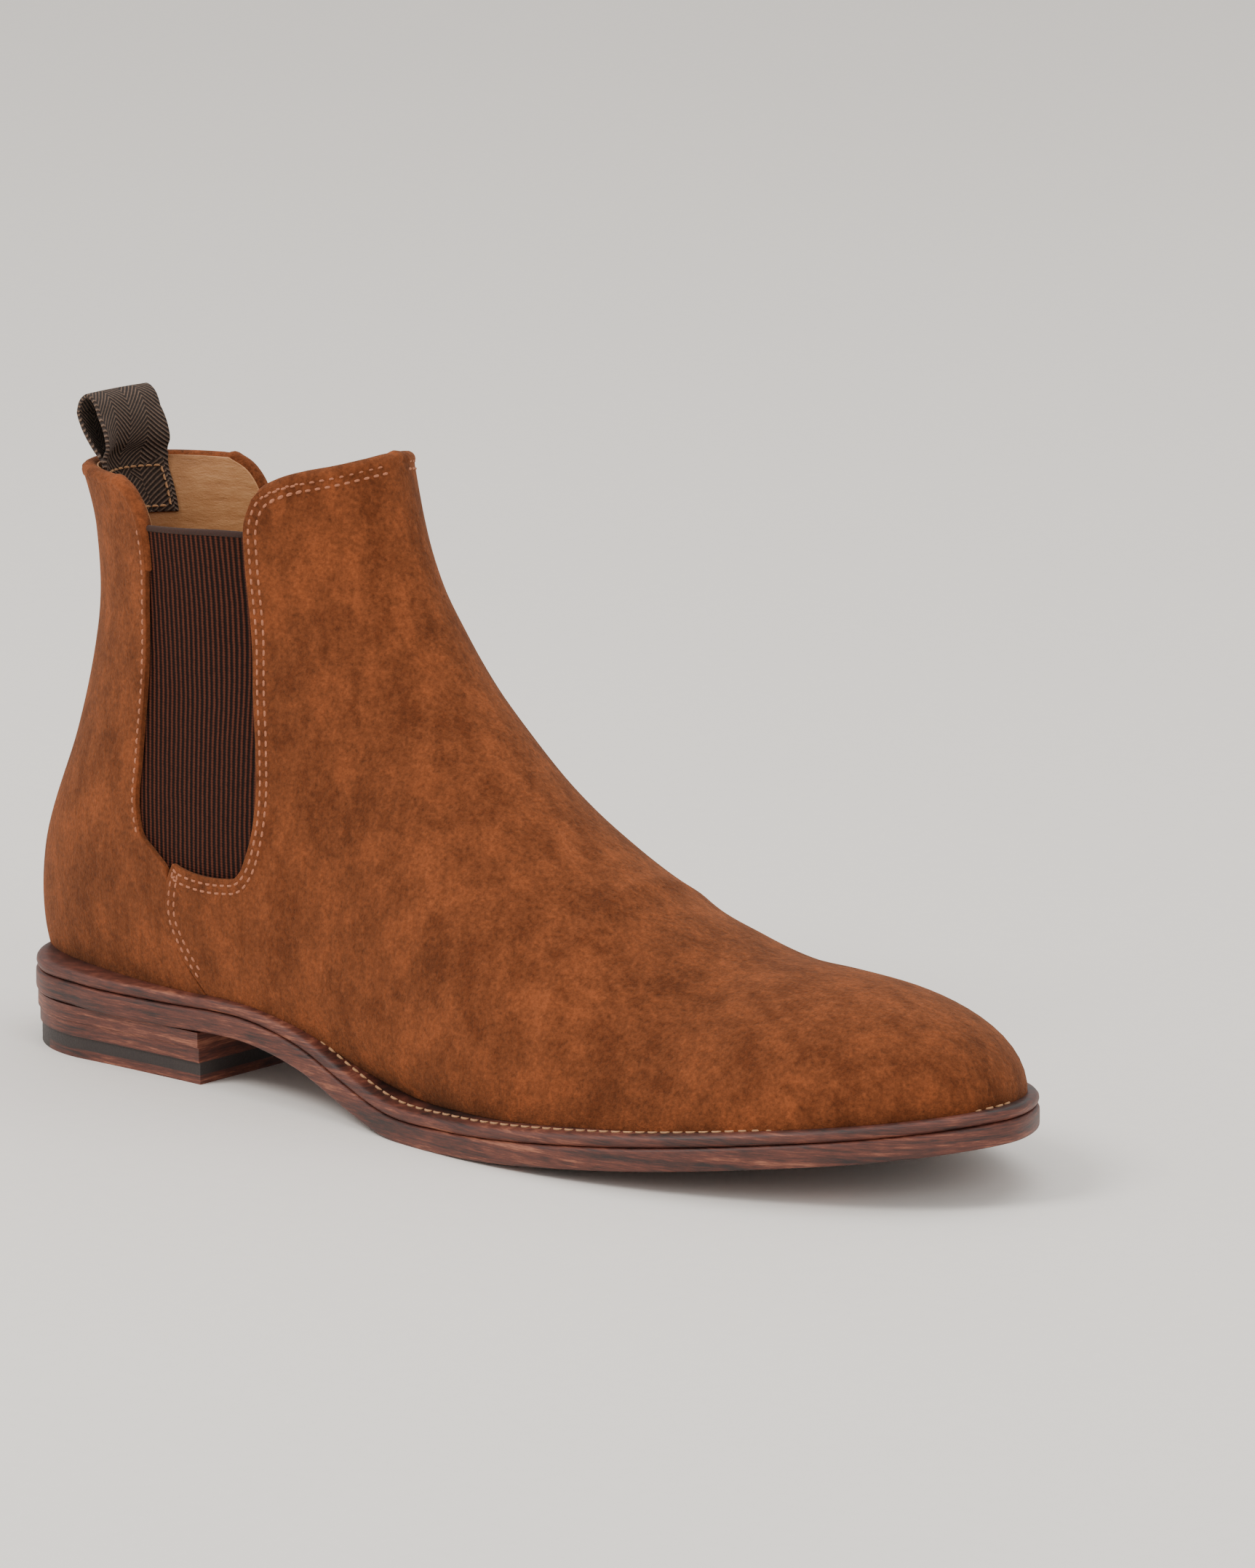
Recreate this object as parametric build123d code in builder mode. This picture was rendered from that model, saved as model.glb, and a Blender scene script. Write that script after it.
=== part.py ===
from build123d import *
import os
from math import cos, sin, pi, radians

# A right-foot suede chelsea boot, in millimetres.
# The origin is the centre of the heel's ground face. +X points to the toe, +Y to the
# inner (medial) side of the foot and +Z up.

# ---- overall sizes ----------------------------------------------------------------
SOLE_LENGTH = 304.0         # back of the sole to its toe tip
BALL_WIDTH = 102.0          # sole across the ball of the foot
BOOT_HEIGHT = 160.0         # ground to the highest point of the vamp, at the shin

# ---- sole unit --------------------------------------------------------------------
HEEL_LENGTH = 73.0          # ground face of the heel, back edge to breast
HEEL_SEAT = 13.4            # underside of the outsole above the ground
OUTSOLE = 5.8
WELT = 3.1
WELT_WIDTH = 11.0           # edge of the sole to the rib the welt is sewn to
LIFT = 3.9                  # each of the two stacked leather lifts
TOP_LEATHER = 2.4           # leather layer under the rubber, ahead of the landing
LANDING = 17.0              # rubber that meets the ground at the back of the heel
LAYER_STEP = 0.5            # how far each heel layer steps in from the one above
TREAD_X = 145.0             # flat tread behind the ball, from here (pattern distance)
TREAD_LENGTH = 22.0
TOE_SPRING = 15.0           # underside of the outsole above the ground at the toe

# ---- upper ------------------------------------------------------------------------
SUEDE = 1.6
MIDDLE = 1.5                # room between suede and lining: counter, puff, gore
LINING = 1.2
GORE = 1.0                  # elastic webbing
GORE_LAP = 7.0              # how far the gore runs under the suede and the lining
INSOLE = 2.6
SOCK = 0.9

# ---- fittings ---------------------------------------------------------------------
TAB_WIDTH = 22.5            # pull tab webbing
TAB_THICK = 1.1
TAB_LOOP = 15.0             # height of the loop above the sewn ends
TAB_SEWN = 13.0             # length of the sewn ends below the topline
SHANK_WIDTH = 13.0
SHANK_LENGTH = 92.0
SHANK_THICK = 1.2
NAIL_RADIUS = 0.9
PIN_RADIUS = 0.8
FIT = 0.3                   # clearance between pieces that move on each other

# ---- pattern and grading --------------------------------------------------------------
# Pattern points are (distance ahead of the heel's back edge, height above the ground) in
# the side view and (distance ahead, distance to the inner side) in plan, for the size
# below. Other sizes are graded from it, as a last is.
PATTERN_LENGTH, PATTERN_WIDTH, PATTERN_HEIGHT, PATTERN_SEAT = 304.0, 102.0, 160.0, 22.3
SEAT_TOP = HEEL_SEAT + OUTSOLE + WELT
GRADE_X = SOLE_LENGTH / PATTERN_LENGTH
GRADE_Y = BALL_WIDTH / PATTERN_WIDTH
GRADE_Z = (BOOT_HEIGHT - SEAT_TOP) / (PATTERN_HEIGHT - PATTERN_SEAT)
HEEL_BACK = -HEEL_LENGTH / 2
BREAST = HEEL_LENGTH / 2
WALL = SUEDE + MIDDLE + LINING
FAR = 400.0                 # larger than the boot, for cutting solids


def at_x(x):
    return HEEL_BACK + x * GRADE_X


def at_z(z):
    return SEAT_TOP + (z - PATTERN_SEAT) * GRADE_Z


def side(*points):
    """Pattern points of the side view, graded."""
    return [(at_x(x), at_z(z)) for x, z in points]


def plan(*points):
    """Pattern points of the plan view, graded."""
    return [(at_x(x), y * GRADE_Y) for x, y in points]


# ---- the boot's outer form -------------------------------------------------------------
# Girths from the shaft's top round to the ball, on planes that fan out from a line ahead
# of the ankle: degrees behind straight down, distance from the line to the front and to
# the back or underside, half-width, and how far the middle stands to the inner side.
# Below the welt the form runs on inside the sole, where it is cut off.
PIVOT = (190.0, 190.0)
FAN = (
    (90, 83.0, 188.0, 28.5, 0.0),
    (80, 84.5, 187.0, 27.5, 0.0),
    (71, 85.5, 185.5, 26.5, 0.0),
    (64, 87.0, 195.5, 26.0, 0.0),
    (58, 89.0, 216.5, 26.5, 0.0),
    (53, 91.0, 244.5, 28.0, 0.0),
    (48, 93.5, 259.0, 30.5, 0.0),
    (42, 96.0, 255.5, 33.0, 0.0),
    (34, 99.5, 240.0, 34.0, -0.5),
    (25, 104.0, 216.5, 35.0, -1.5),
    (16, 111.0, 203.0, 37.5, -2.0),
    (8, 118.5, 201.5, 40.5, -1.5),
    (0, 127.0, 203.5, 43.0, 0.0),
)
# Upright girths ahead of the ball: distance ahead, top, underside, half-width, shift.
UPRIGHT = ((209.0, 53.0, -14.5, 45.5, 2.5),)
# The toe closes from its start to its tip as a rounded dome about its middle height.
TOE_START = (225.0, 47.8, -15.0, 46.5, 4.0)
TOE_END = (297.0, 50.0, 3.0, 37.0, 4.5)
TOE_MIDDLE = 24.0
TOE_ROUNDNESS = 2.2
TOE_STEPS = (0.0, 0.35, 0.58, 0.76, 0.89, 0.965, 0.994)
SKINS = (0.0, SUEDE, SUEDE + MIDDLE, WALL)     # insets of the layers' faces


def half_oval(low, high, across, shift, widest, hand):
    """One half of a girth, front to back: two quarter ovals that meet at the widest point."""
    middle = low + (high - low) * widest
    starts = (90, 0) if hand > 0 else (180, 270)
    for reach, start in zip((middle - low, high - middle), starts):
        EllipticalCenterArc((middle, shift), reach, across, start_angle=start, arc_size=90)


def girth_plane(front, back):
    """The plane through two side-view points, square to the boot's length plane."""
    start = Vector(at_x(front[0]), 0, at_z(front[1]))
    end = Vector(at_x(back[0]), 0, at_z(back[1]))
    ahead = (end - start).normalized()
    return Plane(start, ahead, ahead.cross(Vector(0, 1, 0))), (end - start).length


def half_face(station, outer, inner, hand):
    """Half of a girth on one side: its skin from an outer to an inner inset, or all of it."""
    section, reach = girth_plane(station["front"], station["back"])
    shift = station["shift"] * GRADE_Y
    ends = []
    with BuildLine() as outline:
        for inset in (outer, inner):
            if inset is None:
                continue
            size = station["size"](inset)
            middle = station["middle"] * reach
            low = middle + (inset - middle) * size
            high = middle + (reach - inset - middle) * size
            across = (station["half"] * GRADE_Y - inset) * size
            half_oval(low, high, across, shift, station["widest"], hand)
            ends.append(((low, shift), (high, shift)))
        if inner is None:
            Line(*ends[0])
        else:
            Line(ends[0][0], ends[1][0])
            Line(ends[0][1], ends[1][1])
    return section * Face(Wire(outline.edges()))


def full_size(inset):
    return 1.0


def body_stations():
    """The girths behind the toe."""
    stations = []
    for angle, near, away, half, shift in FAN:
        back, down = sin(radians(angle)), cos(radians(angle))
        stations.append(dict(
            front=(PIVOT[0] - near * back, PIVOT[1] - near * down),
            back=(PIVOT[0] - away * back, PIVOT[1] - away * down),
            half=half, shift=shift, middle=0.5, size=full_size,
            widest=0.5 + 0.18 * min(1.0, max(0.0, (48 - angle) / 32)),
        ))
    for x, top, low, half, shift in UPRIGHT:
        stations.append(dict(
            front=(x, top), back=(x, low), half=half, shift=shift, middle=0.5,
            size=full_size, widest=0.68,
        ))
    return stations


def toe_station(x):
    """A girth of the toe, whose size falls to nothing at the tip as an oval's does."""
    length = TOE_END[0] - TOE_START[0]
    step = (x - TOE_START[0]) / length
    top, low, half, shift = [a + (b - a) * step for a, b in zip(TOE_START[1:], TOE_END[1:])]

    def size(inset):
        along = min(1.0, (x - TOE_START[0]) / (length - inset / GRADE_X))
        return (1 - along ** TOE_ROUNDNESS) ** (1 / TOE_ROUNDNESS)

    return dict(
        front=(x, top), back=(x, low), half=half, shift=shift, size=size,
        middle=(top - TOE_MIDDLE) / (top - low), widest=0.66 - 0.06 * step,
    )


def toe_end(inset):
    """Where the form at this inset is cut off, just behind its tip."""
    return TOE_START[0] + (TOE_END[0] - TOE_START[0] - inset / GRADE_X) * TOE_STEPS[-1]


def toe_stations(low, high):
    """Girths of the toe whose distance is from low to high, the same ones for every layer."""
    length = TOE_END[0] - TOE_START[0] - WALL / GRADE_X
    places = [TOE_START[0] + length * step for step in TOE_STEPS[:-1]]
    places += [toe_end(inset) for inset in SKINS]
    return [toe_station(x) for x in sorted(places) if low <= x <= high]


def layer(outer, inner):
    """A skin of the boot's form, between two insets, joined from each girth to the next."""
    pieces = []
    rings = body_stations() + toe_stations(0, toe_end(inner))
    tips = toe_stations(toe_end(inner), toe_end(outer))
    for hand in (-1, 1):
        for near, far in zip(rings, rings[1:]):
            faces = [half_face(station, outer, inner, hand) for station in (near, far)]
            pieces.append(loft(faces, ruled=True, mode=Mode.PRIVATE))
        for near, far in zip(tips, tips[1:]):
            faces = [half_face(station, outer, None, hand) for station in (near, far)]
            pieces.append(loft(faces, ruled=True, mode=Mode.PRIVATE))
    return pieces


def form(inset):
    """The whole solid inside the form at this inset."""
    pieces = []
    stations = body_stations() + toe_stations(0, toe_end(inset))
    for hand in (-1, 1):
        for near, far in zip(stations, stations[1:]):
            faces = [half_face(station, inset, None, hand) for station in (near, far)]
            pieces.append(loft(faces, ruled=True, mode=Mode.PRIVATE))
    return pieces


# ---- side-view and plan cutting shapes ---------------------------------------------------
HEEL_UNDER = (92.0, HEEL_SEAT)                 # where the underside leaves the heel seat
WAIST_UNDER = ((110.0, 10.0), (127.0, 4.2))    # underside of the waist, pattern distance
TOE_UNDER = ((210.0, 3.4), (255.0, 8.6))       # underside ahead of the tread


def flow(points, start, end):
    """A smooth curve through points that sets off and arrives in the given directions."""
    ways = [Vector(way).normalized() for way in (start, end)]
    Spline(*points, tangents=ways, tangent_scalars=(1.0, 1.0))


def underside(height):
    """Side-view line of the outsole's underside, raised by a height, heel to toe."""
    seat = (at_x(HEEL_UNDER[0]), HEEL_SEAT + height)
    tread = at_x(TREAD_X), height
    tread_end = at_x(TREAD_X) + TREAD_LENGTH, height
    tip = (HEEL_BACK - 2 + SOLE_LENGTH, TOE_SPRING + height)
    waist = [(at_x(x), z * HEEL_SEAT / 13.4 + height) for x, z in WAIST_UNDER]
    toe = [(at_x(x), z * TOE_SPRING / 15.0 + height) for x, z in TOE_UNDER]
    Line((HEEL_BACK - 20, HEEL_SEAT + height), seat)
    flow([seat, *waist, tread], (1, 0), (1, 0))
    Line(tread, tread_end)
    flow([tread_end, *toe, tip], (1, 0), (3, 1))
    Line(tip, (tip[0] + 30, tip[1] + 10))


def sole_band(low, high):
    """Everything between two heights over the underside, across the whole boot."""
    with BuildSketch(Plane.XZ) as band:
        with BuildLine():
            underside(low)
            underside(high)
            Line((HEEL_BACK - 20, HEEL_SEAT + low), (HEEL_BACK - 20, HEEL_SEAT + high))
            end = (HEEL_BACK - 2 + SOLE_LENGTH + 30, TOE_SPRING + 10)
            Line((end[0], end[1] + low), (end[0], end[1] + high))
        make_face()
    return band.sketch


SPINE = (31.5, 262.0, 3.0)  # the sole's spine: its heel end, its toe end, its toe's side step


def inward(point, inset):
    """Move a plan point towards the sole's spine by an inset."""
    along = min(max(point[0], at_x(SPINE[0])), at_x(SPINE[1]))
    across = SPINE[2] if point[0] > at_x(SPINE[1]) else 0.0
    towards = Vector(along - point[0], across - point[1])
    moved = Vector(*point) + towards.normalized() * inset
    return (moved.X, moved.Y)


def sole_outline(inset):
    """Plan outline of the outsole, stepped in by an inset."""
    heel = [inward(p, inset) for p in plan((31.5, -33.5), (-2.0, 0.0), (31.5, 33.5))]
    tip = inward(plan((302.0, 3.0))[0], inset)
    lateral = [inward(p, inset) for p in plan(*LATERAL_EDGE)]
    medial = [inward(p, inset) for p in plan(*MEDIAL_EDGE)]
    with BuildLine() as outline:
        ThreePointArc(*heel)
        flow([heel[0], *lateral, tip], (1, 0), (0.08, 1))
        flow([tip, *medial, heel[2]], (-0.08, 1), (-1, 0))
    return Face(Wire(outline.edges()))


def sole_block(inset, low=-10.0, high=60.0):
    """The outline at an inset, upright between two heights."""
    return extrude(Plane.XY.offset(low) * sole_outline(inset), amount=high - low, dir=(0, 0, 1), mode=Mode.PRIVATE)


LATERAL_EDGE = (
    (73, -35), (95, -36.5), (120, -40), (150, -47), (180, -51), (207, -50.8), (235, -46),
    (260, -37.5), (280, -27.5), (295, -13.5),
)
MEDIAL_EDGE = (
    (297, 18), (286, 31), (268, 43), (243, 51), (215, 53), (190, 48.5), (165, 39.5),
    (140, 32.5), (118, 30), (95, 31), (73, 33),
)


def vamp_edge():
    """Side-view outline of the vamp: seam, gore edge, topline, then clear of the boot."""
    seam = side((76, 14), (70, 26), (60.5, 41), (60.5, 50), (63, 55))
    gore = side((63, 55), (71, 53.4), (80, 53.2), (87, 57), (90, 72), (87, 94), (82, 117), (80.4, 140))
    corner = side((80.4, 140), (82.5, 148.5), (90, 153))
    top = side((90, 153), (100, 155.5), (111, 159.6), (135, 166))
    flow(seam, (-1, 3), (1, 1))
    flow(gore, (1, 0), (0, 1))
    flow(corner, (0, 1), (3, 1))
    flow(top, (3, 1), (3, 1))
    Polyline(top[-1], (FAR, top[-1][1]), (FAR, -FAR / 10), (seam[0][0], -FAR / 10), seam[0])


def quarter_edge():
    """Side-view outline of the quarter: seam, gore edge, topline, then behind the boot."""
    seam = side((76, 14), (70, 26), (60.5, 41), (60.5, 50), (63, 55))
    gore = side((63, 55), (54, 57), (48.5, 63), (48.3, 80), (48.6, 98), (47.6, 118), (47, 133))
    corner = side((47, 133), (44.3, 142), (36, 147.5))
    top = side((36, 147.5), (24, 148.3), (5, 147), (-25, 145))
    flow(seam, (-1, 3), (1, 1))
    flow(gore, (-1, 0), (0, 1))
    flow(corner, (0, 1), (-3, 1))
    flow(top, (-3, 1), (-1, 0))
    Polyline(top[-1], (-FAR, top[-1][1]), (-FAR, -FAR / 10), (seam[0][0], -FAR / 10), seam[0])


with BuildPart() as vamp_region:
    with BuildSketch(Plane.XZ):
        with BuildLine():
            vamp_edge()
        make_face()
    extrude(amount=FAR / 2, both=True)

with BuildPart() as quarter_region:
    with BuildSketch(Plane.XZ):
        with BuildLine():
            quarter_edge()
        make_face()
    extrude(amount=FAR / 2, both=True)


def box_region(low, high):
    """A cutting block between two graded side-view corners, right across the boot."""
    (x0, z0), (x1, z1) = side(low, high)
    corner = Plane((x0, -FAR / 2, z0))
    return corner * Solid.make_box(x1 - x0, FAR, z1 - z0)


# ---- layers of the upper, above the welt --------------------------------------------------
with BuildPart() as above_welt:
    extrude(sole_band(OUTSOLE + WELT, FAR), amount=FAR / 2, both=True)
with BuildPart() as suede_layer:
    add(layer(0.0, SUEDE))
    add(above_welt.part, mode=Mode.INTERSECT)
with BuildPart() as middle_layer:
    add(layer(SUEDE, SUEDE + MIDDLE))
    add(above_welt.part, mode=Mode.INTERSECT)
with BuildPart() as lining_layer:
    add(layer(SUEDE + MIDDLE, WALL))
    add(above_welt.part, mode=Mode.INTERSECT)

# ---- the back of the shaft swings on the heel part when the gores stretch -------------------
BEND_Z = 76.0               # pattern height of the bend
BEND_GAP = 0.4
below_bend = box_region((-FAR, -FAR), (FAR, BEND_Z - BEND_GAP / 2))
above_bend = box_region((-FAR, BEND_Z + BEND_GAP / 2), (FAR, FAR))

with BuildPart() as vamp:
    add(suede_layer.part)
    add(vamp_region.part, mode=Mode.INTERSECT)
with BuildPart() as vamp_lining:
    add(lining_layer.part)
    add(vamp_region.part, mode=Mode.INTERSECT)
with BuildPart() as quarter_heel:
    add(suede_layer.part)
    add(quarter_region.part, mode=Mode.INTERSECT)
    add(below_bend, mode=Mode.INTERSECT)
with BuildPart() as quarter_back:
    add(suede_layer.part)
    add(quarter_region.part, mode=Mode.INTERSECT)
    add(above_bend, mode=Mode.INTERSECT)
with BuildPart() as heel_lining:
    add(lining_layer.part)
    add(quarter_region.part, mode=Mode.INTERSECT)
    add(below_bend, mode=Mode.INTERSECT)
with BuildPart() as back_lining:
    add(lining_layer.part)
    add(quarter_region.part, mode=Mode.INTERSECT)
    add(above_bend, mode=Mode.INTERSECT)

# ---- between suede and lining ---------------------------------------------------------------
COUNTER_TOP = 62.0          # heel counter, pattern height and reach ahead of the heel
COUNTER_FRONT = 58.0
PUFF_BACK = 238.0           # toe puff, from here to the toe
with BuildPart() as heel_counter:
    add(middle_layer.part)
    add(box_region((-FAR, 0), (COUNTER_FRONT, COUNTER_TOP)), mode=Mode.INTERSECT)
    add(box_region((40, 45), (COUNTER_FRONT + 1, COUNTER_TOP + 1)), mode=Mode.SUBTRACT)
with BuildPart() as toe_puff:
    add(middle_layer.part)
    add(box_region((PUFF_BACK, 0), (FAR, 90)), mode=Mode.INTERSECT)
with BuildPart() as vamp_interlining:
    add(middle_layer.part)
    add(vamp_region.part, mode=Mode.INTERSECT)
    add(box_region((98, 0), (PUFF_BACK - 0.5, 156)), mode=Mode.INTERSECT)
with BuildPart() as back_tape:
    add(middle_layer.part)
    add(quarter_region.part, mode=Mode.INTERSECT)
    add(box_region((-FAR, BEND_Z + 2), (38, 145)), mode=Mode.INTERSECT)

# ---- elastic gores, one on each side ----------------------------------------------------------
with BuildPart() as gore_window:
    with BuildSketch(Plane.XZ):
        with BuildLine():
            low_edge = side((42, 66), (48, 52), (68, 47), (92, 48))
            flow(low_edge, (0, -1), (1, 0.3))
            Polyline(low_edge[-1], *side((96.5, 60), (96.5, 80), (93, 100), (88, 120), (87, 139)))
            Polyline(*side((87, 139), (41, 136), (42, 66)))
        make_face()
    extrude(amount=FAR / 2, both=True)
GORE_ROOM = (MIDDLE - GORE) / 2
with BuildPart() as gore_skin:
    add(layer(SUEDE + GORE_ROOM, SUEDE + GORE_ROOM + GORE))
    add(gore_window.part, mode=Mode.INTERSECT)
with BuildPart() as gore_lateral:
    add(gore_skin.part)
    add(Plane((-FAR, -FAR, 0)) * Solid.make_box(2 * FAR, FAR, FAR), mode=Mode.INTERSECT)
with BuildPart() as gore_medial:
    add(gore_skin.part)
    add(Plane((-FAR, 0, 0)) * Solid.make_box(2 * FAR, FAR, FAR), mode=Mode.INTERSECT)

# ---- fastenings of the heel -------------------------------------------------------------------
RIB = 2.0                   # canvas rib inside the welt
NAIL_RING = 17.5            # ring of heel nails, and of the pins in the rubber
PIN_RING = 23.0
NAIL_FOOT = HEEL_SEAT - 1.6 * LIFT
NAIL_HEAD = SEAT_TOP + 1.4
PIN_TOP = 4.6
heel_centre = at_x(SPINE[0])
with BuildPart(Plane((heel_centre, 0, NAIL_FOOT))) as heel_nails:
    with PolarLocations(NAIL_RING, 7, start_angle=60, angular_range=240, endpoint=True):
        Cylinder(NAIL_RADIUS, NAIL_HEAD - NAIL_FOOT, align=(Align.CENTER, Align.CENTER, Align.MIN))
with BuildPart(Plane((heel_centre, 0, 0))) as top_lift_pins:
    with PolarLocations(PIN_RING, 5, start_angle=137, angular_range=86, endpoint=True):
        Cylinder(PIN_RADIUS, PIN_TOP, align=(Align.CENTER, Align.CENTER, Align.MIN))

# ---- sole ---------------------------------------------------------------------------------------
WELT_INSET = 0.4            # the welt's edge stands just inside the outsole's


def band_block(low, high):
    return extrude(sole_band(low, high), amount=FAR / 2, both=True, mode=Mode.PRIVATE)


welt_band = band_block(OUTSOLE, OUTSOLE + WELT)
with BuildPart() as outsole:
    add(sole_block(0.0))
    add(band_block(0.0, OUTSOLE), mode=Mode.INTERSECT)
    add(heel_nails.part, mode=Mode.SUBTRACT)
with BuildPart() as welt:
    add(sole_block(WELT_INSET))
    add(sole_block(WELT_WIDTH), mode=Mode.SUBTRACT)
    add(welt_band, mode=Mode.INTERSECT)
with BuildPart() as gemming_rib:
    add(sole_block(WELT_WIDTH))
    add(sole_block(WELT_WIDTH + RIB), mode=Mode.SUBTRACT)
    add(welt_band, mode=Mode.INTERSECT)

# ---- shank, cork and insole ------------------------------------------------------------------------
SHANK_BACK = 49.0           # pattern distance of the shank's heel end
SHANK_RISE = 0.9            # cork under the shank
RIVETS = (SHANK_BACK + 8.0, SHANK_BACK + SHANK_LENGTH - 8.0)
with BuildPart() as shank_rivets:
    for distance in RIVETS:
        with Locations((at_x(distance), 0, 0)):
            Cylinder(1.6, FAR, align=(Align.CENTER, Align.CENTER, Align.MIN))
    add(band_block(OUTSOLE + 0.3, OUTSOLE + WELT), mode=Mode.INTERSECT)
with BuildPart() as shank_room:
    with BuildSketch():
        with Locations((at_x(SHANK_BACK) + SHANK_LENGTH / 2, 0)):
            SlotOverall(SHANK_LENGTH, SHANK_WIDTH)
    extrude(amount=FAR)
    low = OUTSOLE + SHANK_RISE
    add(band_block(low, low + SHANK_THICK), mode=Mode.INTERSECT)
with BuildPart() as shank:
    add(shank_room.part)
    add(shank_rivets.part, mode=Mode.SUBTRACT)
with BuildPart() as cork_filler:
    add(sole_block(WELT_WIDTH + RIB))
    add(welt_band, mode=Mode.INTERSECT)
    add([heel_nails.part, shank_room.part, shank_rivets.part], mode=Mode.SUBTRACT)

INSOLE_FIT = 0.2            # between the lining and the insole's edge
SOCK_END = 82.0             # the heel sock ends here, pattern distance
insole_solids = form(WALL + INSOLE_FIT)
with BuildPart() as insole:
    add(insole_solids)
    low = OUTSOLE + WELT
    add(band_block(low, low + INSOLE), mode=Mode.INTERSECT)
    add(heel_nails.part, mode=Mode.SUBTRACT)
with BuildPart() as sock_liner:
    add(insole_solids)
    low = OUTSOLE + WELT + INSOLE
    add(band_block(low, low + SOCK), mode=Mode.INTERSECT)
    add(box_region((-FAR, -FAR), (SOCK_END, FAR)), mode=Mode.INTERSECT)

# ---- stacked heel -------------------------------------------------------------------------------------
RUBBER_TOP = HEEL_SEAT - 2 * LIFT
LANDING_X = HEEL_BACK + LANDING


def heel_layer(step, low, high, back=-FAR):
    """A layer of the heel, stepped in, from a distance ahead of the heel to the breast."""
    with BuildPart(mode=Mode.PRIVATE) as slab:
        add(sole_block(step * LAYER_STEP, low, high))
        cut = Plane((back, -FAR / 2, -1)) * Solid.make_box(BREAST - back, FAR, FAR)
        add(cut, mode=Mode.INTERSECT)
    return slab.part


with BuildPart() as heel_lift_1:
    add(heel_layer(1, HEEL_SEAT - LIFT, HEEL_SEAT))
    add(heel_nails.part, mode=Mode.SUBTRACT)
with BuildPart() as heel_lift_2:
    add(heel_layer(2, RUBBER_TOP, HEEL_SEAT - LIFT))
    add(heel_nails.part, mode=Mode.SUBTRACT)
with BuildPart() as top_lift_leather:
    add(heel_layer(3, 0.0, TOP_LEATHER, LANDING_X))
with BuildPart() as top_lift_rubber:
    add(heel_layer(3, 0.0, RUBBER_TOP))
    add([top_lift_leather.part, top_lift_pins.part], mode=Mode.SUBTRACT)

# ---- pull tab ---------------------------------------------------------------------------------------------
TAB_ROOT = (17.5, 149.2)    # pattern point where the loop leaves the topline
TAB_LEAN = 10.0             # the loop leans back
TAB_DEPTH = 8.6             # loop's thickness, front face to back face
with BuildPart() as pull_tab_ends:
    add(layer(WALL + 0.05, WALL + 0.05 + 2 * TAB_THICK))
    low = Plane((-FAR, -TAB_WIDTH / 2, at_z(TAB_ROOT[1]) - 1.2 - TAB_SEWN))
    add(low * Solid.make_box(FAR + at_x(40), TAB_WIDTH, TAB_SEWN), mode=Mode.INTERSECT)
tab_root = Vector(at_x(TAB_ROOT[0]), 0, at_z(TAB_ROOT[1]))
lean = radians(TAB_LEAN)
tab_plane = Plane(tab_root, x_dir=(cos(lean), 0, sin(lean)), z_dir=(0, -1, 0))
with BuildPart() as pull_tab_loop:
    with BuildSketch(tab_plane):
        with Locations((0, TAB_LOOP / 2 + 1)):
            Ellipse(TAB_DEPTH / 2, TAB_LOOP / 2 + 1)
            Ellipse(TAB_DEPTH / 2 - TAB_THICK, TAB_LOOP / 2 + 1 - TAB_THICK, mode=Mode.SUBTRACT)
    extrude(amount=TAB_WIDTH / 2, both=True)

# ---- export -------------------------------------------------------------------------------------------------
os.makedirs("parts", exist_ok=True)
outsole.part.label = "outsole"
export_step(outsole.part, "parts/outsole.step")
welt.part.label = "welt"
export_step(welt.part, "parts/welt.step")
gemming_rib.part.label = "gemming_rib"
export_step(gemming_rib.part, "parts/gemming_rib.step")
cork_filler.part.label = "cork_filler"
export_step(cork_filler.part, "parts/cork_filler.step")
shank.part.label = "shank"
export_step(shank.part, "parts/shank.step")
shank_rivets.part.label = "shank_rivets"
export_step(shank_rivets.part, "parts/shank_rivets.step")
insole.part.label = "insole"
export_step(insole.part, "parts/insole.step")
sock_liner.part.label = "sock_liner"
export_step(sock_liner.part, "parts/sock_liner.step")
heel_lift_1.part.label = "heel_lift_1"
export_step(heel_lift_1.part, "parts/heel_lift_1.step")
heel_lift_2.part.label = "heel_lift_2"
export_step(heel_lift_2.part, "parts/heel_lift_2.step")
top_lift_rubber.part.label = "top_lift_rubber"
export_step(top_lift_rubber.part, "parts/top_lift_rubber.step")
top_lift_leather.part.label = "top_lift_leather"
export_step(top_lift_leather.part, "parts/top_lift_leather.step")
heel_nails.part.label = "heel_nails"
export_step(heel_nails.part, "parts/heel_nails.step")
top_lift_pins.part.label = "top_lift_pins"
export_step(top_lift_pins.part, "parts/top_lift_pins.step")
heel_counter.part.label = "heel_counter"
export_step(heel_counter.part, "parts/heel_counter.step")
toe_puff.part.label = "toe_puff"
export_step(toe_puff.part, "parts/toe_puff.step")
vamp_interlining.part.label = "vamp_interlining"
export_step(vamp_interlining.part, "parts/vamp_interlining.step")
vamp.part.label = "vamp"
export_step(vamp.part, "parts/vamp.step")
vamp_lining.part.label = "vamp_lining"
export_step(vamp_lining.part, "parts/vamp_lining.step")
quarter_heel.part.label = "quarter_heel"
export_step(quarter_heel.part, "parts/quarter_heel.step")
quarter_back.part.label = "quarter_back"
export_step(quarter_back.part, "parts/quarter_back.step")
heel_lining.part.label = "heel_lining"
export_step(heel_lining.part, "parts/heel_lining.step")
back_lining.part.label = "back_lining"
export_step(back_lining.part, "parts/back_lining.step")
back_tape.part.label = "back_tape"
export_step(back_tape.part, "parts/back_tape.step")
gore_lateral.part.label = "gore_lateral"
export_step(gore_lateral.part, "parts/gore_lateral.step")
gore_medial.part.label = "gore_medial"
export_step(gore_medial.part, "parts/gore_medial.step")
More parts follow.
